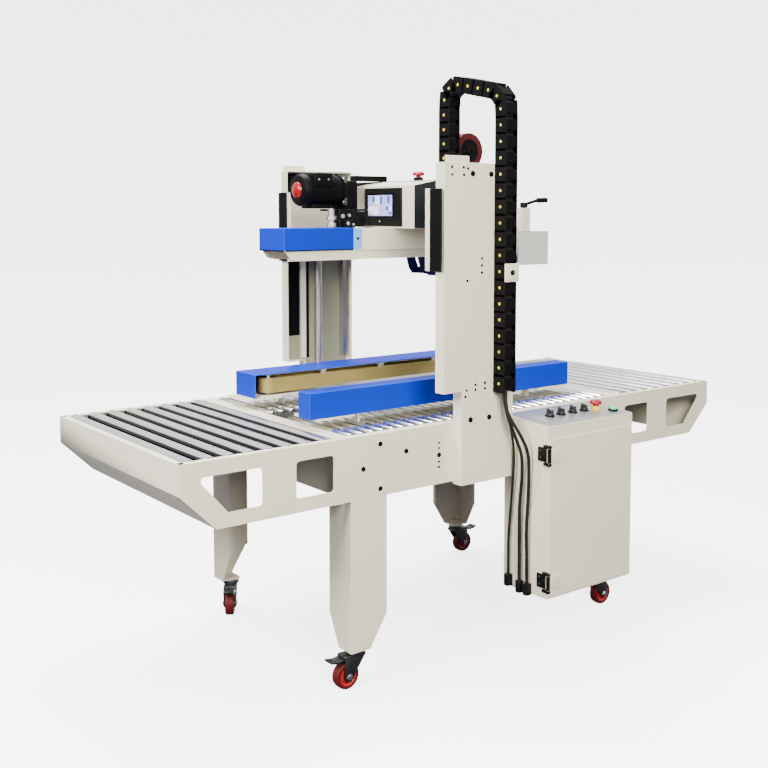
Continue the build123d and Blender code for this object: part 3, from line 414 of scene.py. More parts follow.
def soft_light(name, place, target, size, power, colour=(1, 1, 1)):
    data = bpy.data.lights.new(name, "AREA")
    data.shape, data.size, data.energy, data.color = "SQUARE", size, power, colour
    light = bpy.data.objects.new(name, data)
    light.location = place
    light.rotation_euler = (Vector(target) - Vector(place)).to_track_quat("-Z", "Y").to_euler()
    bpy.context.scene.collection.objects.link(light)
    return light


soft_light("key", (-3.3, -0.6, 2.5), (-0.6, 0, 0.8), 1.5, 260.0, (1.0, 0.985, 0.95))
soft_light("front", (-1.6, -4.4, 2.9), (0.0, 0, 1.0), 2.2, 500.0, (1.0, 0.96, 0.87))
soft_light("top", (0.2, 1.2, 4.8), (0, 0, 0.7), 2.0, 420.0)

# %% [markdown]
# ## Shape helpers
# Every piece starts as a small bmesh shape: a block with rounded edges, a profile spun as on a
# lathe, or an outline extruded to a plate. Shapes are added to one bmesh and become one object,
# which keeps the number of objects low and lets a piece carry several finishes.

# %% Shape helpers
TURN = {"x": Matrix.Rotation(math.radians(90), 4, "Y"), "y": Matrix.Rotation(math.radians(-90), 4, "X"),
        "z": Matrix.Identity(4)}


def soft_block(low, high, round_by=0.001, segments=2):
    """A block between two corners with rounded edges."""
    shape = bmesh.new()
    bmesh.ops.create_cube(shape, size=1.0)
    size = [high[i] - low[i] for i in range(3)]
    middle = [(high[i] + low[i]) / 2 for i in range(3)]
    bmesh.ops.scale(shape, verts=shape.verts, vec=size)
    bmesh.ops.translate(shape, verts=shape.verts, vec=middle)
    if round_by:
        bmesh.ops.bevel(shape, geom=list(shape.edges), offset=round_by, affect="EDGES", segments=segments,
                        profile=0.5, material=-1)
    return shape


def lathe(profile, steps=24):
    """Spins a line of (radius, height) points a full turn round Z."""
    shape = bmesh.new()
    points = [shape.verts.new((radius, 0, height)) for radius, height in profile]
    lines = [shape.edges.new(pair) for pair in zip(points, points[1:])]
    bmesh.ops.spin(shape, geom=points + lines, cent=(0, 0, 0), axis=(0, 0, 1), angle=math.tau, steps=steps,
                   use_merge=True)
    bmesh.ops.remove_doubles(shape, verts=shape.verts, dist=1e-6)
    bmesh.ops.recalc_face_normals(shape, faces=shape.faces)
    return shape


def plate(points, low, high, normal="y", round_by=0.0008, segments=2):
    """An outline extruded to a plate: (x, z) points along y, (y, z) along x, or (x, y) along z."""
    shape = bmesh.new()
    order = {"y": lambda a, b: (a, low, b),
             "x": lambda a, b: (low, a, b),
             "z": lambda a, b: (a, b, low)}[normal]
    face = shape.faces.new([shape.verts.new(order(a, b)) for a, b in points])
    along = {"x": (high - low, 0, 0), "y": (0, high - low, 0), "z": (0, 0, high - low)}[normal]
    made = bmesh.ops.extrude_face_region(shape, geom=[face])
    moved = [item for item in made["geom"] if isinstance(item, bmesh.types.BMVert)]
    bmesh.ops.translate(shape, verts=moved, vec=along)
    bmesh.ops.recalc_face_normals(shape, faces=shape.faces)
    if round_by:
        bmesh.ops.bevel(shape, geom=list(shape.edges), offset=round_by, affect="EDGES", segments=segments,
                        profile=0.5, material=-1)
    return shape


def add(whole, part, place=None, finish=0, keep=False):
    """Puts a copy of a shape into a larger one, with one finish number."""
    mesh = bpy.data.meshes.new("part")
    part.to_mesh(mesh)
    if place is not None:
        mesh.transform(place)
        if place.determinant() < 0:
            mesh.flip_normals()
    before = len(whole.faces)
    whole.from_mesh(mesh)
    whole.faces.ensure_lookup_table()
    if finish is not None:
        for face in whole.faces[before:]:
            face.material_index = finish
    bpy.data.meshes.remove(mesh)
    if not keep:
        part.free()


def at(axis, place):
    """Turns a lathe shape's Z axis to x, y or z and puts its origin at a place."""
    return Matrix.Translation(place) @ TURN[axis]


def piece_from(shape, name, body, finishes, replaces=(), sharp=32.0):
    """Makes the object, shades it, and lets it ride on its body."""
    mesh = bpy.data.meshes.new(name)
    shape.to_mesh(mesh)
    shape.free()
    for finish in finishes:
        mesh.materials.append(finish)
    mesh.shade_smooth()
    mesh.set_sharp_from_angle(angle=math.radians(sharp))
    piece = bpy.data.objects.new(name, mesh)
    bpy.context.scene.collection.objects.link(piece)
    if body:
        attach(piece, body)
    if replaces:
        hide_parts(*replaces)
    return piece


print("shape helpers ready")

# %% [markdown]
# ## Folded and welded sheet
# Real sheet has a small radius at each cut or fold, and that thin line of light is what makes
# it look like sheet. The engineering shapes are right but dead sharp, so each is copied, its
# doubled points are merged, flat faces are joined, and a Bevel modifier rounds what is left.
# The bevel takes a second, brighter and glossier finish: a painted highlight along each edge.

# %% Soften the sheet-metal parts
def soften(node, body, finishes, edge, width=0.0009, choose=None, angle=34.0):
    shape = bmesh.new()
    shape.from_mesh(nodes[node].data)
    bmesh.ops.remove_doubles(shape, verts=shape.verts, dist=1e-6)
    bmesh.ops.dissolve_limit(shape, angle_limit=math.radians(1.0), verts=shape.verts, edges=shape.edges)
    for face in shape.faces:
        face.material_index = choose(face.calc_center_median(), face.normal) if choose else 0
    piece = piece_from(shape, node + "_shell", body, [*finishes, edge], [node])
    rounding = piece.modifiers.new("rounded edges", "BEVEL")
    rounding.width = width
    rounding.segments = 2
    rounding.limit_method = "ANGLE"
    rounding.angle_limit = math.radians(angle)
    # The bevelled faces take the edge finish, a painted highlight along each edge.
    rounding.material = len(finishes)
    rounding.harden_normals = True
    return piece


for node in ("near_side_panel", "far_side_panel", "legs", "cross_panels", "lower_tape_unit"):
    soften(node, "frame", [cream_coat], cream_edge_highlight)
# The inside wall of each column channel gets painted shade, a darker olive grey.
for node, side in (("near_column", -1), ("far_column", 1)):
    soften(node, "frame", [cream_coat, recess_painted_shade], cream_edge_highlight,
           choose=lambda c, n: 1 if n.y * side < -0.9 and 0.4175 < abs(c.y) < 0.4185 and c.z > 0.60 else 0)
# The face just under the table rollers is painted black: painted shade for the gaps between the rollers.
for node in ("infeed_table_frame", "outfeed_table_frame"):
    soften(node, "frame", [cream_coat, black_coat], cream_edge_highlight,
           choose=lambda c, n: 1 if 0.6620 < c.z < 0.6645 and abs(c.y) < 0.3812 else 0)
# The bed frame's face under the rollers is painted black: painted shade for the gaps between the bed rollers.
soften("bed_subframe", "frame", [machined_steel, black_coat], dark_steel,
       choose=lambda c, n: 1 if 0.6540 < c.z < 0.6565 and abs(c.y) > 0.0452 else 0)
soften("head_carriage", "head", [carriage_coat, cream_coat, machined_steel], cream_edge_highlight,
       choose=lambda c, n: 0 if abs(c.y) < 0.3475 else 1 if abs(c.y) < 0.3515 or c.x < -0.13 else 2)
soften("near_drive_cover", "near_drive", [blue_coat], blue_edge_highlight, 0.0012)
soften("far_drive_cover", "far_drive", [blue_coat], blue_edge_highlight, 0.0012)
soften("near_drive_frame", "near_drive", [cream_coat, machined_steel], cream_edge_highlight,
       choose=lambda c, n: 1 if c.z > 0.7365 or c.z < 0.64 else 0)
soften("far_drive_frame", "far_drive", [cream_coat, machined_steel], cream_edge_highlight,
       choose=lambda c, n: 1 if c.z > 0.7365 or c.z < 0.64 else 0)
soften("beam_covers", "head", [blue_coat, pale_grey_coat], blue_edge_highlight, 0.0010,
       choose=lambda c, n: 0 if c.x < 0 else 1)
soften("head_beam", "head", [cream_coat, machined_steel, dark_steel], cream_edge_highlight,
       choose=lambda c, n: 1 if abs(c.y) < 0.060 and abs(n.y) < 0.99 and c.z < 1.22 else 0)
soften("hmi_box", "head", [cream_coat, grey_coat], cream_edge_highlight, 0.0012,
       choose=lambda c, n: 1 if n.y < -0.9 and c.y < -0.164 else 0)
soften("head_brackets", "head", [black_coat, machined_steel], black_edge_highlight,
       choose=lambda c, n: 1 if -0.271 <= c.x <= -0.219 and c.z < 1.2995 and 0.0305 < c.y < 0.066 else 0)
soften("cabinet_door", "door", [cream_coat, black_nylon], cream_edge_highlight, 0.0010,
       choose=lambda c, n: 1 if c.y < -0.5655 and c.x < 0.046 else 0)


def cabinet_parts(centre, normal):
    """Case 0, desk plate 1, switchgear 2, collars, hinge pins and glands 3."""
    slope = 0.687 + (centre.y + 0.562) * (0.010 / 0.178)
    if centre.z > slope + 0.0004:
        if math.hypot(centre.x - 0.333, centre.y + 0.475) < 0.030 and centre.z > slope + 0.0025:
            return 4
        return 1 if centre.z < slope + 0.0025 else 3
    if centre.x < 0.0369:
        return 3
    if centre.y > -0.4475 and 0.055 < centre.x < 0.384 and 0.2 < centre.z < 0.632:
        return 2
    return 0


soften("control_cabinet", "frame", [cream_coat, brushed_aluminium, gear_grey, black_nylon, signal_yellow],
       cream_edge_highlight, 0.0010, choose=cabinet_parts)

# %% [markdown]
# ## Rollers
# A conveyor roller is a zinc-plated tube with a plastic bearing cap pressed in each end, on a
# fixed shaft. That is one profile spun round the shaft, so a lathe shape makes it, and the
# faces are sorted into tube, cap and shaft by how far they are from the axis.

# %% Rollers of the tables and the bed
def by_radius(shape, limits):
    """Numbers a lathe shape's faces by radius: limits are (radius, number) from the axis out."""
    for face in shape.faces:
        middle = face.calc_center_median()
        radius = math.hypot(middle.x, middle.y)
        face.material_index = next((number for limit, number in limits if radius < limit), face.material_index)


def roller_shape(radius, shaft, face_half, shaft_low, shaft_high, steps):
    """A capped tube on its shaft, lying along Z."""
    half = [(shaft, face_half - 0.002), (radius * 0.52, face_half - 0.002), (radius * 0.54, face_half - 0.0008),
            (radius * 0.80, face_half - 0.0008), (radius * 0.84, face_half - 0.003),
            (radius * 0.88, face_half - 0.0004), (radius * 0.95, face_half), (radius, face_half - 0.0012)]
    mirrored = [(r, -h) for r, h in half]
    near_end, far_end = [(0, shaft_low), (shaft, shaft_low)], [(shaft, shaft_high), (0, shaft_high)]
    profile = near_end + mirrored + half[::-1] + far_end
    shape = lathe(profile, steps)
    for face in shape.faces:
        face.material_index = 0
    by_radius(shape, [(shaft * 1.01, 2), (radius * 0.86, 1)])
    return shape


tables = bmesh.new()
table_roller = roller_shape(0.019, 0.006, 0.361, -0.381, 0.381, 28)
for side in (-1, 1):
    for number in range(8):
        add(tables, table_roller, at("y", (side * (0.990 - 0.057 * number), 0, 0.685)), None, keep=True)
table_roller.free()
piece_from(tables, "table_roller_set", "frame", [roller_zinc, seal_black, machined_steel],
           ["table_rollers"])

bed = bmesh.new()
bed_roller = roller_shape(0.014, 0.005, 0.1535, -0.1555, 0.1805, 20)
for number in range(29):
    for side in (-1, 1):
        turn = Matrix.Translation(((number - 14) * 0.036, side * 0.2005, 0.689)) @ TURN["y"]
        if side < 0:
            turn = turn @ Matrix.Rotation(math.pi, 4, "X")
        add(bed, bed_roller, turn, None, keep=True)
bed_roller.free()
piece_from(bed, "bed_roller_set", "frame", [roller_zinc, seal_black, machined_steel],
           ["bed_rollers"])
print("rollers: 16 on the tables, 58 on the bed")

# %% [markdown]
# ## Drag chain
# The chain that carries the cables is a string of moulded links: two side plates, a bar across
# the front and one across the back, and a snap pin at each joint. One link is built once and
# stamped along the path. The upright run on the column gets shorter when the head goes down,
# the inner run spans two bodies, and the turn at the top moves half as far as the head. The
# turn is a line with two soft corners, and links are set along it a link's length apart.

# %% Drag chain
def chain_link(length):
    """One link with its run along Z, centred on the origin."""
    link = bmesh.new()
    half, reach = length / 2 + 0.0035, 0.0235
    corner = 0.0045
    outline = [(-reach, -half + corner), (-reach + corner * 0.6, -half), (reach - corner * 0.6, -half),
               (reach, -half + corner), (reach, half - corner), (reach - corner * 0.6, half),
               (-reach + corner * 0.6, half), (-reach, half - corner)]
    for low, high in ((-0.0225, -0.0198), (0.0198, 0.0225)):
        add(link, plate(outline, low, high, "x", 0.0007, 1), None, 0)
    for y in (-0.0222, 0.0190):
        bar = soft_block((-0.0200, y, -length * 0.34), (0.0200, y + 0.0032, length * 0.34), 0.0008, 1)
        add(link, bar, None, 0)
    add(link, soft_block((-0.0170, -0.0160, -length / 2), (0.0170, 0.0160, length / 2), 0.004, 1), None, 2)
    pin = lathe([(0, 0.0), (0.0042, 0.0), (0.0046, -0.0005), (0.0046, -0.003), (0, -0.003)], 10)
    add(link, pin, Matrix.Translation((-0.0229, 0, 0)) @ Matrix.Rotation(math.radians(-90), 4, "Y"), 1)
    return link


def straight_chain(name, body, y, low, high, count, node):
    run = bmesh.new()
    pitch = (high - low) / count
    link = chain_link(pitch)
    for number in range(count):
        add(run, link, Matrix.Translation((-0.026, y, low + (number + 0.5) * pitch)), None, keep=True)
    link.free()
    return piece_from(run, name, body, [chain_nylon, pin_yellow, cable_black], [node])


fixed_run = straight_chain("chain_fixed_run", "frame", -0.445, 0.782, 1.565, 17, "drag_chain_fixed_run")
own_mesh(fixed_run)
moving_run = straight_chain("chain_moving_run", None, -0.199, 1.395, 1.565, 4, "drag_chain_moving_run")
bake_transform(moving_run)

turn_line = [Vector(place) for place in ((-0.445, 1.565), (-0.445, 1.600), (-0.438, 1.622), (-0.419, 1.6385),
                                         (-0.243, 1.6765), (-0.218, 1.670), (-0.202, 1.652), (-0.199, 1.628),
                                         (-0.199, 1.565))]


def along_line(line, distance):
    """The point that far along a line of straight runs."""
    for start, stop in zip(line, line[1:]):
        run = (stop - start).length
        if distance <= run or stop is line[-1]:
            return start.lerp(stop, distance / run)
        distance -= run


turn_links = 9
turn_length = sum((b - a).length for a, b in zip(turn_line, turn_line[1:]))
loop = bmesh.new()
loop_link = chain_link(turn_length / turn_links)
for number in range(turn_links):
    first, last = (along_line(turn_line, turn_length * step / turn_links) for step in (number, number + 1))
    middle = (first + last) / 2
    lean = math.atan2(last.x - first.x, last.y - first.y)
    place = Matrix.Translation((-0.026, middle.x, middle.y)) @ Matrix.Rotation(-lean, 4, "X")
    add(loop, loop_link, place, None, keep=True)
loop_link.free()
piece_from(loop, "chain_loop_links", "chain_loop", [chain_nylon, pin_yellow, cable_black],
           ["drag_chain_loop"])
print("chain links: 17 fixed, 9 in the loop, 4 on the head's side; loop", round(turn_length, 3), "m")

# %% [markdown]
# ## Screws
# Button-head screws have a domed head with a hexagonal socket. Seen from a metre away the dark
# socket and the bright rim are all that shows, so a dozen facets round are enough.

# %% Screws and the chain clamp
def button_head(radius, height):
    return lathe([(0, height * 0.35), (radius * 0.42, height * 0.35), (radius * 0.46, height * 0.92),
                  (radius * 0.70, height), (radius * 0.93, height * 0.62), (radius, height * 0.2), (radius, 0)], 12)


screws = bmesh.new()
panel, column = 0.384, 0.421
groups = [
    (panel, 0.007, 0.004, ((-0.430, 0.671), (-0.340, 0.639), (-0.487, 0.610), (-0.430, 0.548), (0.430, 0.671),
                           (0.487, 0.610), (0.430, 0.548), (-0.221, 0.611))),
    (panel, 0.0035, 0.002, ((-0.221, 0.646), (-0.221, 0.631), (-0.221, 0.592), (-0.221, 0.577))),
    (column, 0.008, 0.004, ((-0.135, 0.707), (-0.063, 0.707), (-0.132, 1.404), (-0.062, 1.404))),
    (column, 0.004, 0.002, ((-0.155, 0.775), (-0.151, 0.793), (-0.117, 0.806), (-0.117, 0.792), (-0.080, 0.808),
                            (-0.080, 0.792), (-0.209, 1.421), (-0.209, 1.400), (-0.166, 1.421),
                            (-0.165, 1.400), (-0.150, 1.418), (-0.095, 1.166), (-0.095, 1.146),
                            (-0.095, 1.125), (-0.150, 1.104))),
]
for face_y, radius, height, places in groups:
    head = button_head(radius, height)
    for x, z in places:
        for side in (-1, 1):
            turn = Matrix.Rotation(math.radians(90 if side < 0 else -90), 4, "X")
            add(screws, head, Matrix.Translation((x, side * face_y, z)) @ turn, 0, keep=True)
    head.free()
end_head = button_head(0.007, 0.004)
for side in (-1, 1):
    for y in (-0.210, 0.210):
        add(screws, end_head, Matrix.Translation((side * 0.527, y, 0.640)) @
            Matrix.Rotation(math.radians(90 * side), 4, "Y"), 0, keep=True)
end_head.free()
add(screws, soft_block((-0.052, -0.474, 1.099), (-0.003, -0.469, 1.151), 0.001), None, 1)
add(screws, soft_block((-0.003, -0.474, 1.099), (0.000, -0.421, 1.151), 0.001), None, 1)
add(screws, button_head(0.008, 0.0045), Matrix.Translation((-0.026, -0.474, 1.125)) @
    Matrix.Rotation(math.radians(90), 4, "X"), 0)
piece_from(screws, "screws_and_clamp", "frame", [black_coat, cream_coat], ["fasteners"])
print("screws", 2 * sum(len(g[3]) for g in groups) + 5)

# %% [markdown]
# ## Casters
# A braked swivel caster has a pressed fork hanging from a ball race, a wheel with a cast
# polyurethane tread on a nylon hub, an axle with nuts and a brake pedal. It is modelled once,
# trailing along +X, and set under each foot at its own heading.

# %% Casters
def caster_wheel_shape():
    half = [(0.0062, 0.0150), (0.0110, 0.0150), (0.0118, 0.0142), (0.0120, 0.0105), (0.0215, 0.0090),
            (0.0240, 0.0118), (0.0262, 0.0132), (0.0335, 0.0138), (0.0362, 0.0120), (0.0373, 0.0085),
            (0.0375, 0.0040)]
    profile = [(r, -h) for r, h in half] + half[::-1]
    shape = lathe(profile + [profile[0]], 40)
    for face in shape.faces:
        face.material_index = 0
    by_radius(shape, [(0.0119, 2), (0.0256, 1)])
    return shape


def caster_fork_shape():
    fork = bmesh.new()
    add(fork, lathe([(0, 0.1086), (0.0258, 0.1086), (0.0268, 0.1078), (0.0270, 0.1062), (0.0262, 0.1052),
                     (0.0240, 0.1048), (0, 0.1048)], 32), None, 1)
    add(fork, lathe([(0, 0.1050), (0.0225, 0.1050), (0.0232, 0.1035), (0.0225, 0.1020), (0, 0.1020)], 32), None, 2)
    add(fork, lathe([(0, 0.1022), (0.0250, 0.1022), (0.0268, 0.1010), (0.0270, 0.0970), (0.0255, 0.0955),
                     (0, 0.0955)], 32), None, 0)
    add(fork, lathe([(0, 0.1138), (0.0055, 0.1138), (0.0060, 0.1133), (0.0060, 0.1080), (0, 0.1080)], 16), None, 2)
    add(fork, soft_block((-0.024, -0.0200, 0.0862), (0.046, 0.0200, 0.0960), 0.0028, 3), None, 0)
    outline = [(-0.022, 0.090), (0.044, 0.090), (0.047, 0.0435), (0.0455, 0.0315), (0.040, 0.0245),
               (0.0300, 0.0225), (0.0230, 0.0245), (0.0100, 0.0450)]
    for low, high in ((-0.0200, -0.0170), (0.0170, 0.0200)):
        add(fork, plate(outline, low, high, "y", 0.0009), None, 0)
    axle_low = Matrix.Translation((0.032, 0, 0.0375)) @ TURN["y"]
    add(fork, lathe([(0, -0.0236), (0.0050, -0.0236), (0.0056, -0.0230), (0.0056, 0.0230), (0.0050, 0.0236),
                     (0, 0.0236)], 16), axle_low, 2)
    for low in (-0.0222, 0.0202):
        add(fork, lathe([(0, low), (0.0090, low), (0.0095, low + 0.0004), (0.0095, low + 0.0016),
                         (0.0090, low + 0.0020), (0, low + 0.0020)], 6), axle_low, 2)
    pedal = [(0.042, 0.0900), (0.042, 0.0840), (0.066, 0.0800), (0.090, 0.0858), (0.0920, 0.0915),
             (0.0870, 0.0905), (0.066, 0.0868)]
    add(fork, plate(pedal, -0.0170, 0.0170, "y", 0.0012), None, 0)
    for number in range(4):
        x = 0.0700 + 0.0048 * number
        add(fork, soft_block((x, -0.0145, 0.0855 + 0.0012 * number), (x + 0.0020, 0.0145, 0.0888 + 0.0012 * number),
                             0.0005, 1), None, 0)
    return fork


wheel_shape, fork_shape = caster_wheel_shape(), caster_fork_shape()
for corner, heading in (("infeed_near", 180), ("outfeed_near", 0), ("infeed_far", 235), ("outfeed_far", 0)):
    x = -0.487 if corner.startswith("infeed") else 0.487
    y = -0.344 if corner.endswith("near") else 0.344
    spot = Matrix.Translation((x, y, 0)) @ Matrix.Rotation(math.radians(heading), 4, "Z")
    fork, wheel = bmesh.new(), bmesh.new()
    add(fork, fork_shape, spot, None, keep=True)
    add(wheel, wheel_shape, spot @ Matrix.Translation((0.032, 0, 0.0375)) @ TURN["y"], None, keep=True)
    piece_from(fork, "fork_shell_" + corner, "fork_" + corner, [dark_steel, bright_zinc, machined_steel],
               ["caster_fork_" + corner])
    piece_from(wheel, "wheel_shell_" + corner, "wheel_" + corner, [tread_red, hub_red, dark_steel],
               ["caster_wheel_" + corner])
wheel_shape.free()
fork_shape.free()
print("casters: 4 forks and 4 wheels")

# %% [markdown]
# ## Buttons and selectors
# The desk slopes a little towards the operator, so one matrix carries the slope and each
# control is built upright at the origin. Mushroom stops, selectors and the lit button are all
# turned shapes; the selectors get a moulded grip with a white mark.

# %% Controls
desk_slope = math.atan2(0.010, 0.178)


def on_desk(x, y):
    rise = (y + 0.473) * math.tan(desk_slope)
    return Matrix.Translation((x, y, 0.692 + rise)) @ Matrix.Rotation(desk_slope, 4, "X")


def mushroom():
    shape = lathe([(0, 0.0062), (0.0078, 0.0062), (0.0078, 0.0158), (0.0165, 0.0158), (0.0184, 0.0168),
                   (0.0190, 0.0188), (0.0188, 0.0215), (0.0172, 0.0246), (0.0135, 0.0268), (0.0075, 0.0278),
                   (0, 0.0280)], 36)
    return shape


for name, body, node, spot in (("cabinet_stop_cap", "cabinet_stop", "cabinet_stop_button", on_desk(0.333, -0.475)
                                @ Matrix.Translation((0, 0, 0.002))),
                               ("head_stop_cap", "head_stop", "head_stop_button",
                                Matrix.Translation((-0.032, -0.060, 1.395)))):
    cap = bmesh.new()
    add(cap, mushroom(), spot, 0)
    piece_from(cap, name, body, [signal_red], [node])

white_mark = moulded("white_mark", (0.75, 0.75, 0.72), 0.45, dust=0.05)
for number, x in enumerate((0.132, 0.180, 0.231, 0.281), 1):
    knob = bmesh.new()
    spot = on_desk(x, -0.475)
    add(knob, lathe([(0, 0.0057), (0.0116, 0.0057), (0.0120, 0.0063), (0.0118, 0.0120), (0.0108, 0.0133),
                     (0, 0.0134)], 32), spot, 0)
    grip = soft_block((-0.0040, -0.0112, 0.0125), (0.0040, 0.0112, 0.0232), 0.0016, 3)
    add(knob, grip, spot, 0)
    add(knob, soft_block((-0.0007, -0.0106, 0.0230), (0.0007, -0.0010, 0.0236), 0.0002, 1), spot, 1)
    piece_from(knob, "selector_%d" % number, "knob_%d" % number, [knob_black, white_mark],
               ["selector_knob_%d" % number])

start = bmesh.new()
add(start, lathe([(0, 0.0072), (0.0108, 0.0072), (0.0110, 0.0078), (0.0109, 0.0132), (0.0098, 0.0146),
                  (0.0050, 0.0150), (0, 0.0150)], 32), on_desk(0.362, -0.520), 0)
piece_from(start, "start_lens", "start", [green_lens], ["start_button"])
print("controls: 2 stops, 4 selectors, 1 lit button")

# %% [markdown]
# ## Touch screen
# The operator's panel is a glossy black bezel with a lit display. The display shows only plain
# coloured tiles, so each is a thin plate a fraction of a millimetre proud with its own glow.

# %% Touch screen
def display(name, colour, glow):
    finish = Finish(name, colour, 0.25, Emission_Strength=glow)
    shade = finish.noise(35.0, 2.0)
    dim = tuple(c * 0.8 for c in colour)
    finish.drive("Base Color", finish.blend(shade, dim, colour))
    finish.drive("Emission Color", finish.blend(shade, dim, colour))
    return finish.material


display_violet = display("display_violet", (0.42, 0.38, 0.80), 0.45)
display_blue = display("display_blue", (0.05, 0.10, 0.50), 0.4)
display_white = display("display_white", (0.78, 0.76, 0.88), 0.6)
low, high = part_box("touch_screen")
panel_shape = bmesh.new()
add(panel_shape, soft_block(low, high, 0.0022, 3), None, 0)
front = low[0]
add(panel_shape, soft_block((front - 0.0003, -0.072, 1.280), (front + 0.002, 0.063, 1.354), 0.0004, 1), None, 1)
add(panel_shape, soft_block((front - 0.0006, -0.066, 1.285), (front, 0.057, 1.349), 0.0002, 1), None, 2)
tiles = [(0.055, 0.038, 1.320, 1.346, 2), (0.035, 0.022, 1.328, 1.346, 3), (0.035, 0.022, 1.318, 1.325, 2),
         (0.019, -0.002, 1.318, 1.346, 4), (-0.005, -0.016, 1.322, 1.346, 3), (-0.019, -0.038, 1.318, 1.346, 2),
         (-0.042, -0.054, 1.324, 1.346, 3), (-0.057, -0.064, 1.318, 1.346, 2), (0.055, 0.004, 1.289, 1.314, 4),
         (0.000, -0.030, 1.301, 1.314, 2), (-0.034, -0.048, 1.303, 1.314, 3), (-0.051, -0.064, 1.301, 1.314, 4),
         (0.000, -0.044, 1.289, 1.297, 2), (-0.048, -0.064, 1.289, 1.297, 3)]
for y1, y0, z0, z1, tone in tiles:
    add(panel_shape, soft_block((front - 0.0009, y0, z0), (front - 0.0003, y1, z1), 0.0002, 1), None, tone)
add(panel_shape, lathe([(0, 0.0004), (0.0020, 0.0004), (0.0024, 0), (0, 0)], 12),
    Matrix.Translation((front, -0.002, 1.268)) @ Matrix.Rotation(math.radians(-90), 4, "Y"), 4)
piece_from(panel_shape, "operator_screen", "head",
           [black_nylon, screen_glass, display_violet, display_blue, display_white], ["touch_screen"])
print("operator screen with", len(tiles), "tiles")

# %% [markdown]
# ## Lift motor
# The head is driven by a small finned motor with a red end cap and an angle gearbox. The fins
# and the cap are one turned profile; the gearbox is a rounded casting with a bolted flange.

# %% Lift motor
motor = bmesh.new()
profile = [(0.0270, -0.3795), (0.0380, -0.3800), (0.0450, -0.3770), (0.0495, -0.3700), (0.0498, -0.3560),
           (0.0470, -0.3545)]
along = -0.352
while along < -0.275:
    profile += [(0.0470, along), (0.0498, along + 0.0012), (0.0500, along + 0.0036), (0.0470, along + 0.0048)]
    along += 0.0095
profile += [(0.0470, -0.2620), (0.0490, -0.2610), (0.0490, -0.2480), (0.0455, -0.2465), (0.0455, -0.2380),
            (0.0500, -0.2370), (0.0500, -0.2260), (0.0490, -0.2250), (0, -0.2250)]
add(motor, lathe([(0, -0.3790)] + profile, 40), at("x", (0, 0.100, 1.364)), 0)
add(motor, lathe([(0, -0.3908), (0.0080, -0.3903), (0.0160, -0.3884), (0.0220, -0.3850), (0.0252, -0.3810),
                  (0.0258, -0.3780), (0, -0.3780)], 36), at("x", (0, 0.100, 1.364)), 1)
add(motor, soft_block((-0.2250, 0.080, 1.306), (-0.165, 0.140, 1.395), 0.005, 3), None, 0)
add(motor, soft_block((-0.2320, 0.056, 1.318), (-0.2230, 0.144, 1.4080), 0.002, 2), None, 2)
for y in (0.064, 0.136):
    for z in (1.328, 1.400):
        add(motor, button_head(0.0045, 0.0035), Matrix.Translation((-0.2320, y, z)) @
            Matrix.Rotation(math.radians(-90), 4, "Y"), 3)
add(motor, soft_block((-0.350, 0.045, 1.376), (-0.285, 0.085, 1.4150), 0.003, 2), None, 0)
for x in (-0.335, -0.300):
    add(motor, button_head(0.0035, 0.0015), Matrix.Translation((x, 0.045, 1.396)) @
        Matrix.Rotation(math.radians(90), 4, "X"), 3)
add(motor, soft_block((-0.345, 0.070, 1.308), (-0.262, 0.130, 1.3200), 0.002, 2), None, 0)
add(motor, lathe([(0, 1.2510), (0.0150, 1.2515), (0.0160, 1.2530), (0.0160, 1.2640), (0.0100, 1.2650),
                  (0.0100, 1.2720), (0.0170, 1.2730), (0.0170, 1.2840), (0.0110, 1.2850), (0.0110, 1.3060),
                  (0, 1.3060)], 28), Matrix.Translation((-0.290, 0.046, 0)), 3)
add(motor, soft_block((-0.262, 0.006, 1.251), (-0.232, 0.029, 1.272), 0.003, 2), None, 0)
for x, y, z, radius in ((-0.255, 0.006, 1.262, 0.0055), (-0.258, 0.030, 1.284, 0.0075),
                        (-0.234, 0.030, 1.286, 0.0060), (-0.236, 0.006, 1.259, 0.0040)):
    add(motor, button_head(radius, 0.0035), Matrix.Translation((x, y, z)) @
        Matrix.Rotation(math.radians(90), 4, "X"), 3)
add(motor, soft_block((-0.2190, 0.034, 1.252), (-0.1680, 0.062, 1.2985), 0.004, 2), None, 0)
piece_from(motor, "lift_motor_shell", "head", [black_coat, signal_red, dark_steel, machined_steel],
           ["lift_motor"])
print("lift motor profile has", len(profile), "points")

# %% [markdown]
# ## Tape rolls
# The roll of sealing tape sits on a plastic hub. The wound side shows rings, the outer turn is
# glossy film, and the hub has three spokes.

# %% Tape rolls
def tape_roll_shape(radius):
    half = [(0.0122, 0.0240), (0.0160, 0.0240), (0.0168, 0.0215), (0.0330, 0.0215), (0.0345, 0.0235),
            (0.0380, 0.0240), (0.0385, 0.0250), (radius - 0.0008, 0.0250), (radius, 0.0243)]
    profile = [(r, -h) for r, h in half] + half[::-1]
    shape = lathe(profile + [profile[0]], 48)
    for face in shape.faces:
        middle = face.calc_center_median()
        on_rim = abs(middle.z) < 0.0242 and math.hypot(middle.x, middle.y) > radius - 0.001
        face.material_index = 2 if on_rim else 0
    by_radius(shape, [(0.0384, 1)])
    for number in range(3):
        spoke = soft_block((0.0165, -0.0035, 0.0205), (0.0340, 0.0035, 0.0238), 0.0008, 1)
        for side in (0, math.pi):
            add(shape, spoke, Matrix.Rotation(side, 4, "X") @ Matrix.Rotation(math.radians(120 * number), 4, "Z"),
                1, keep=True)
        spoke.free()
    return shape


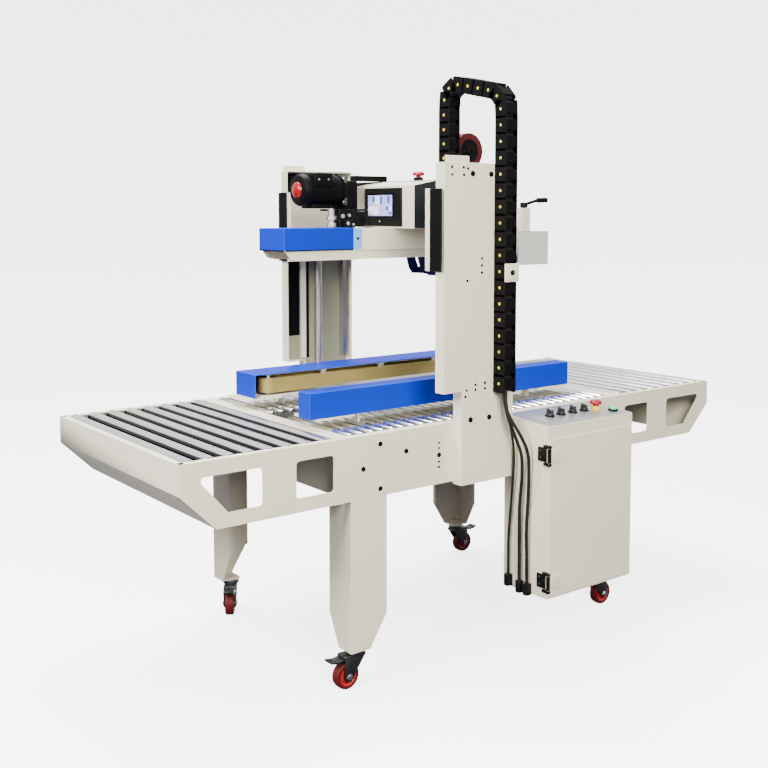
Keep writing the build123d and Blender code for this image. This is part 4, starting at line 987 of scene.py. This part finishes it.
for name, body, node, x, z, rings in (("upper_tape_roll", "upper_roll", "tape_roll", 0.213, 1.497, upper_tape),
                                      ("bed_tape_roll", "lower_roll", "lower_tape_roll", -0.030, 0.620, lower_tape)):
    roll = bmesh.new()
    add(roll, tape_roll_shape(0.059), at("y", (x, 0, z)), None)
    piece_from(roll, name, body, [rings, black_nylon, roll_red], [node])
print("tape rolls: 2")

# %% [markdown]
# ## Wipe arms, lever and small fittings
# The sprung arms keep their engineering outline; only the edges are eased and the roller gets
# its own finish. A few flat fittings on the head are easier to place as their own plates: the
# pale strip that joins the nose cover to the beam, the dark lip under it, and its screws.

# %% Wipe arms, lever and fittings
def arm_parts(tip_x):
    return lambda c, n: 1 if math.hypot(c.x - tip_x, c.z - 1.106) < 0.0165 and abs(c.y) < 0.0255 else 0


soften("front_wipe_arm", "front_arm", [navy_coat, seal_black], navy_coat, 0.0006,
       choose=arm_parts(0.085))
soften("rear_wipe_arm", "rear_arm", [navy_coat, seal_black], navy_coat, 0.0006,
       choose=arm_parts(0.300))
soften("clamp_lever", "lever", [black_nylon, signal_red], black_edge_highlight, 0.0006,
       choose=lambda c, n: 1 if c.x > 0.508 else 0, angle=50.0)

fittings = bmesh.new()
for side in (-1, 1):
    add(fittings, soft_block((-0.2895, min(side * 0.0670, side * 0.0698), 1.1880),
                             (-0.2590, max(side * 0.0670, side * 0.0698), 1.2490), 0.0006, 1), None, 0)
    add(fittings, button_head(0.0042, 0.003), Matrix.Translation((-0.2745, side * 0.0698, 1.2180)) @
        Matrix.Rotation(math.radians(90 if side < 0 else -90), 4, "X"), 1)
    add(fittings, soft_block((-0.5280, min(side * 0.0672, side * 0.0698), 1.1840),
                             (-0.2900, max(side * 0.0672, side * 0.0698), 1.1872), 0.0004, 1), None, 1)
add(fittings, soft_block((-0.5358, -0.0640, 1.1835), (-0.5310, 0.0640, 1.1872), 0.0004, 1), None, 1)
piece_from(fittings, "nose_fittings", "head", [pale_blue_coat, black_coat])
print("fittings on the nose cover")

# %% [markdown]
# ## Fixed hinge leaves
# Each door hinge also grips the cabinet's side. That leaf is a thin dark block with two screws,
# placed beside the pin, and it stays on the frame when the door swings.

# %% Fixed hinge leaves
hinge_covers = bmesh.new()
for low in (0.214, 0.584):
    leaf = soft_block((0.0325, -0.5560, low + 0.001), (0.0372, -0.5240, low + 0.042), 0.0012, 2)
    add(hinge_covers, leaf, None, 0)
    for z in (low + 0.011, low + 0.032):
        add(hinge_covers, button_head(0.0032, 0.0012), Matrix.Translation((0.0325, -0.534, z)) @
            Matrix.Rotation(math.radians(-90), 4, "Y"), 1)
piece_from(hinge_covers, "hinge_fixed_leaves", "frame", [black_nylon, dark_steel])
print("fixed hinge leaves: 2")

# %% [markdown]
# ## Liners in the columns
# Each column is an open channel. A dark strip, a pale slide rail and a narrow dark strip beside it run
# up the inside, seen past the head, and they stay put while the head travels. The narrow strip
# is painted shadow of the rail.

# %% Column liners
liner_top = 1.428
liners = bmesh.new()
# The first strip is dark, the second is the rail, and the last, beside the rail, is painted shadow of the rail.
for side in (-1, 1):
    for (x0, x1), (y0, y1), low, number in (((-0.217, -0.168), (0.4160, 0.4179), 0.875, 0),
                                            ((-0.166, -0.146), (0.4080, 0.4179), 0.795, 1),
                                            ((-0.141, -0.130), (0.4150, 0.4179), 0.795, 0)):
        inner, outer = sorted((side * y0, side * y1))
        add(liners, soft_block((x0, inner, low), (x1, outer, liner_top), 0.0008, 1), None, number)
piece_from(liners, "column_strips_and_painted_shadow", "frame", [black_coat, cream_coat])
print("column liners: 3 strips a side")

# %% [markdown]
# ## Finishes on the engineering parts that stay
# Some parts are hidden deep in the machine or are already the right shape. They keep their
# engineering mesh, and only their material slot changes.

# %% Assign finishes to the parts that stay
def coat(node, finish):
    mesh = nodes[node].data
    if not mesh.materials:
        mesh.materials.append(finish)
    for number in range(len(mesh.materials)):
        mesh.materials[number] = finish


for node, finish in {
    "lift_guides": ground_steel, "lift_shaft": ground_steel,
    "near_idler_pulley": machined_steel, "far_idler_pulley": machined_steel,
    "near_drive_pulley": machined_steel, "far_drive_pulley": machined_steel,
    "near_drive_belt": olive_belt, "far_drive_belt": olive_belt,
}.items():
    coat(node, finish)
print("kept parts coated")
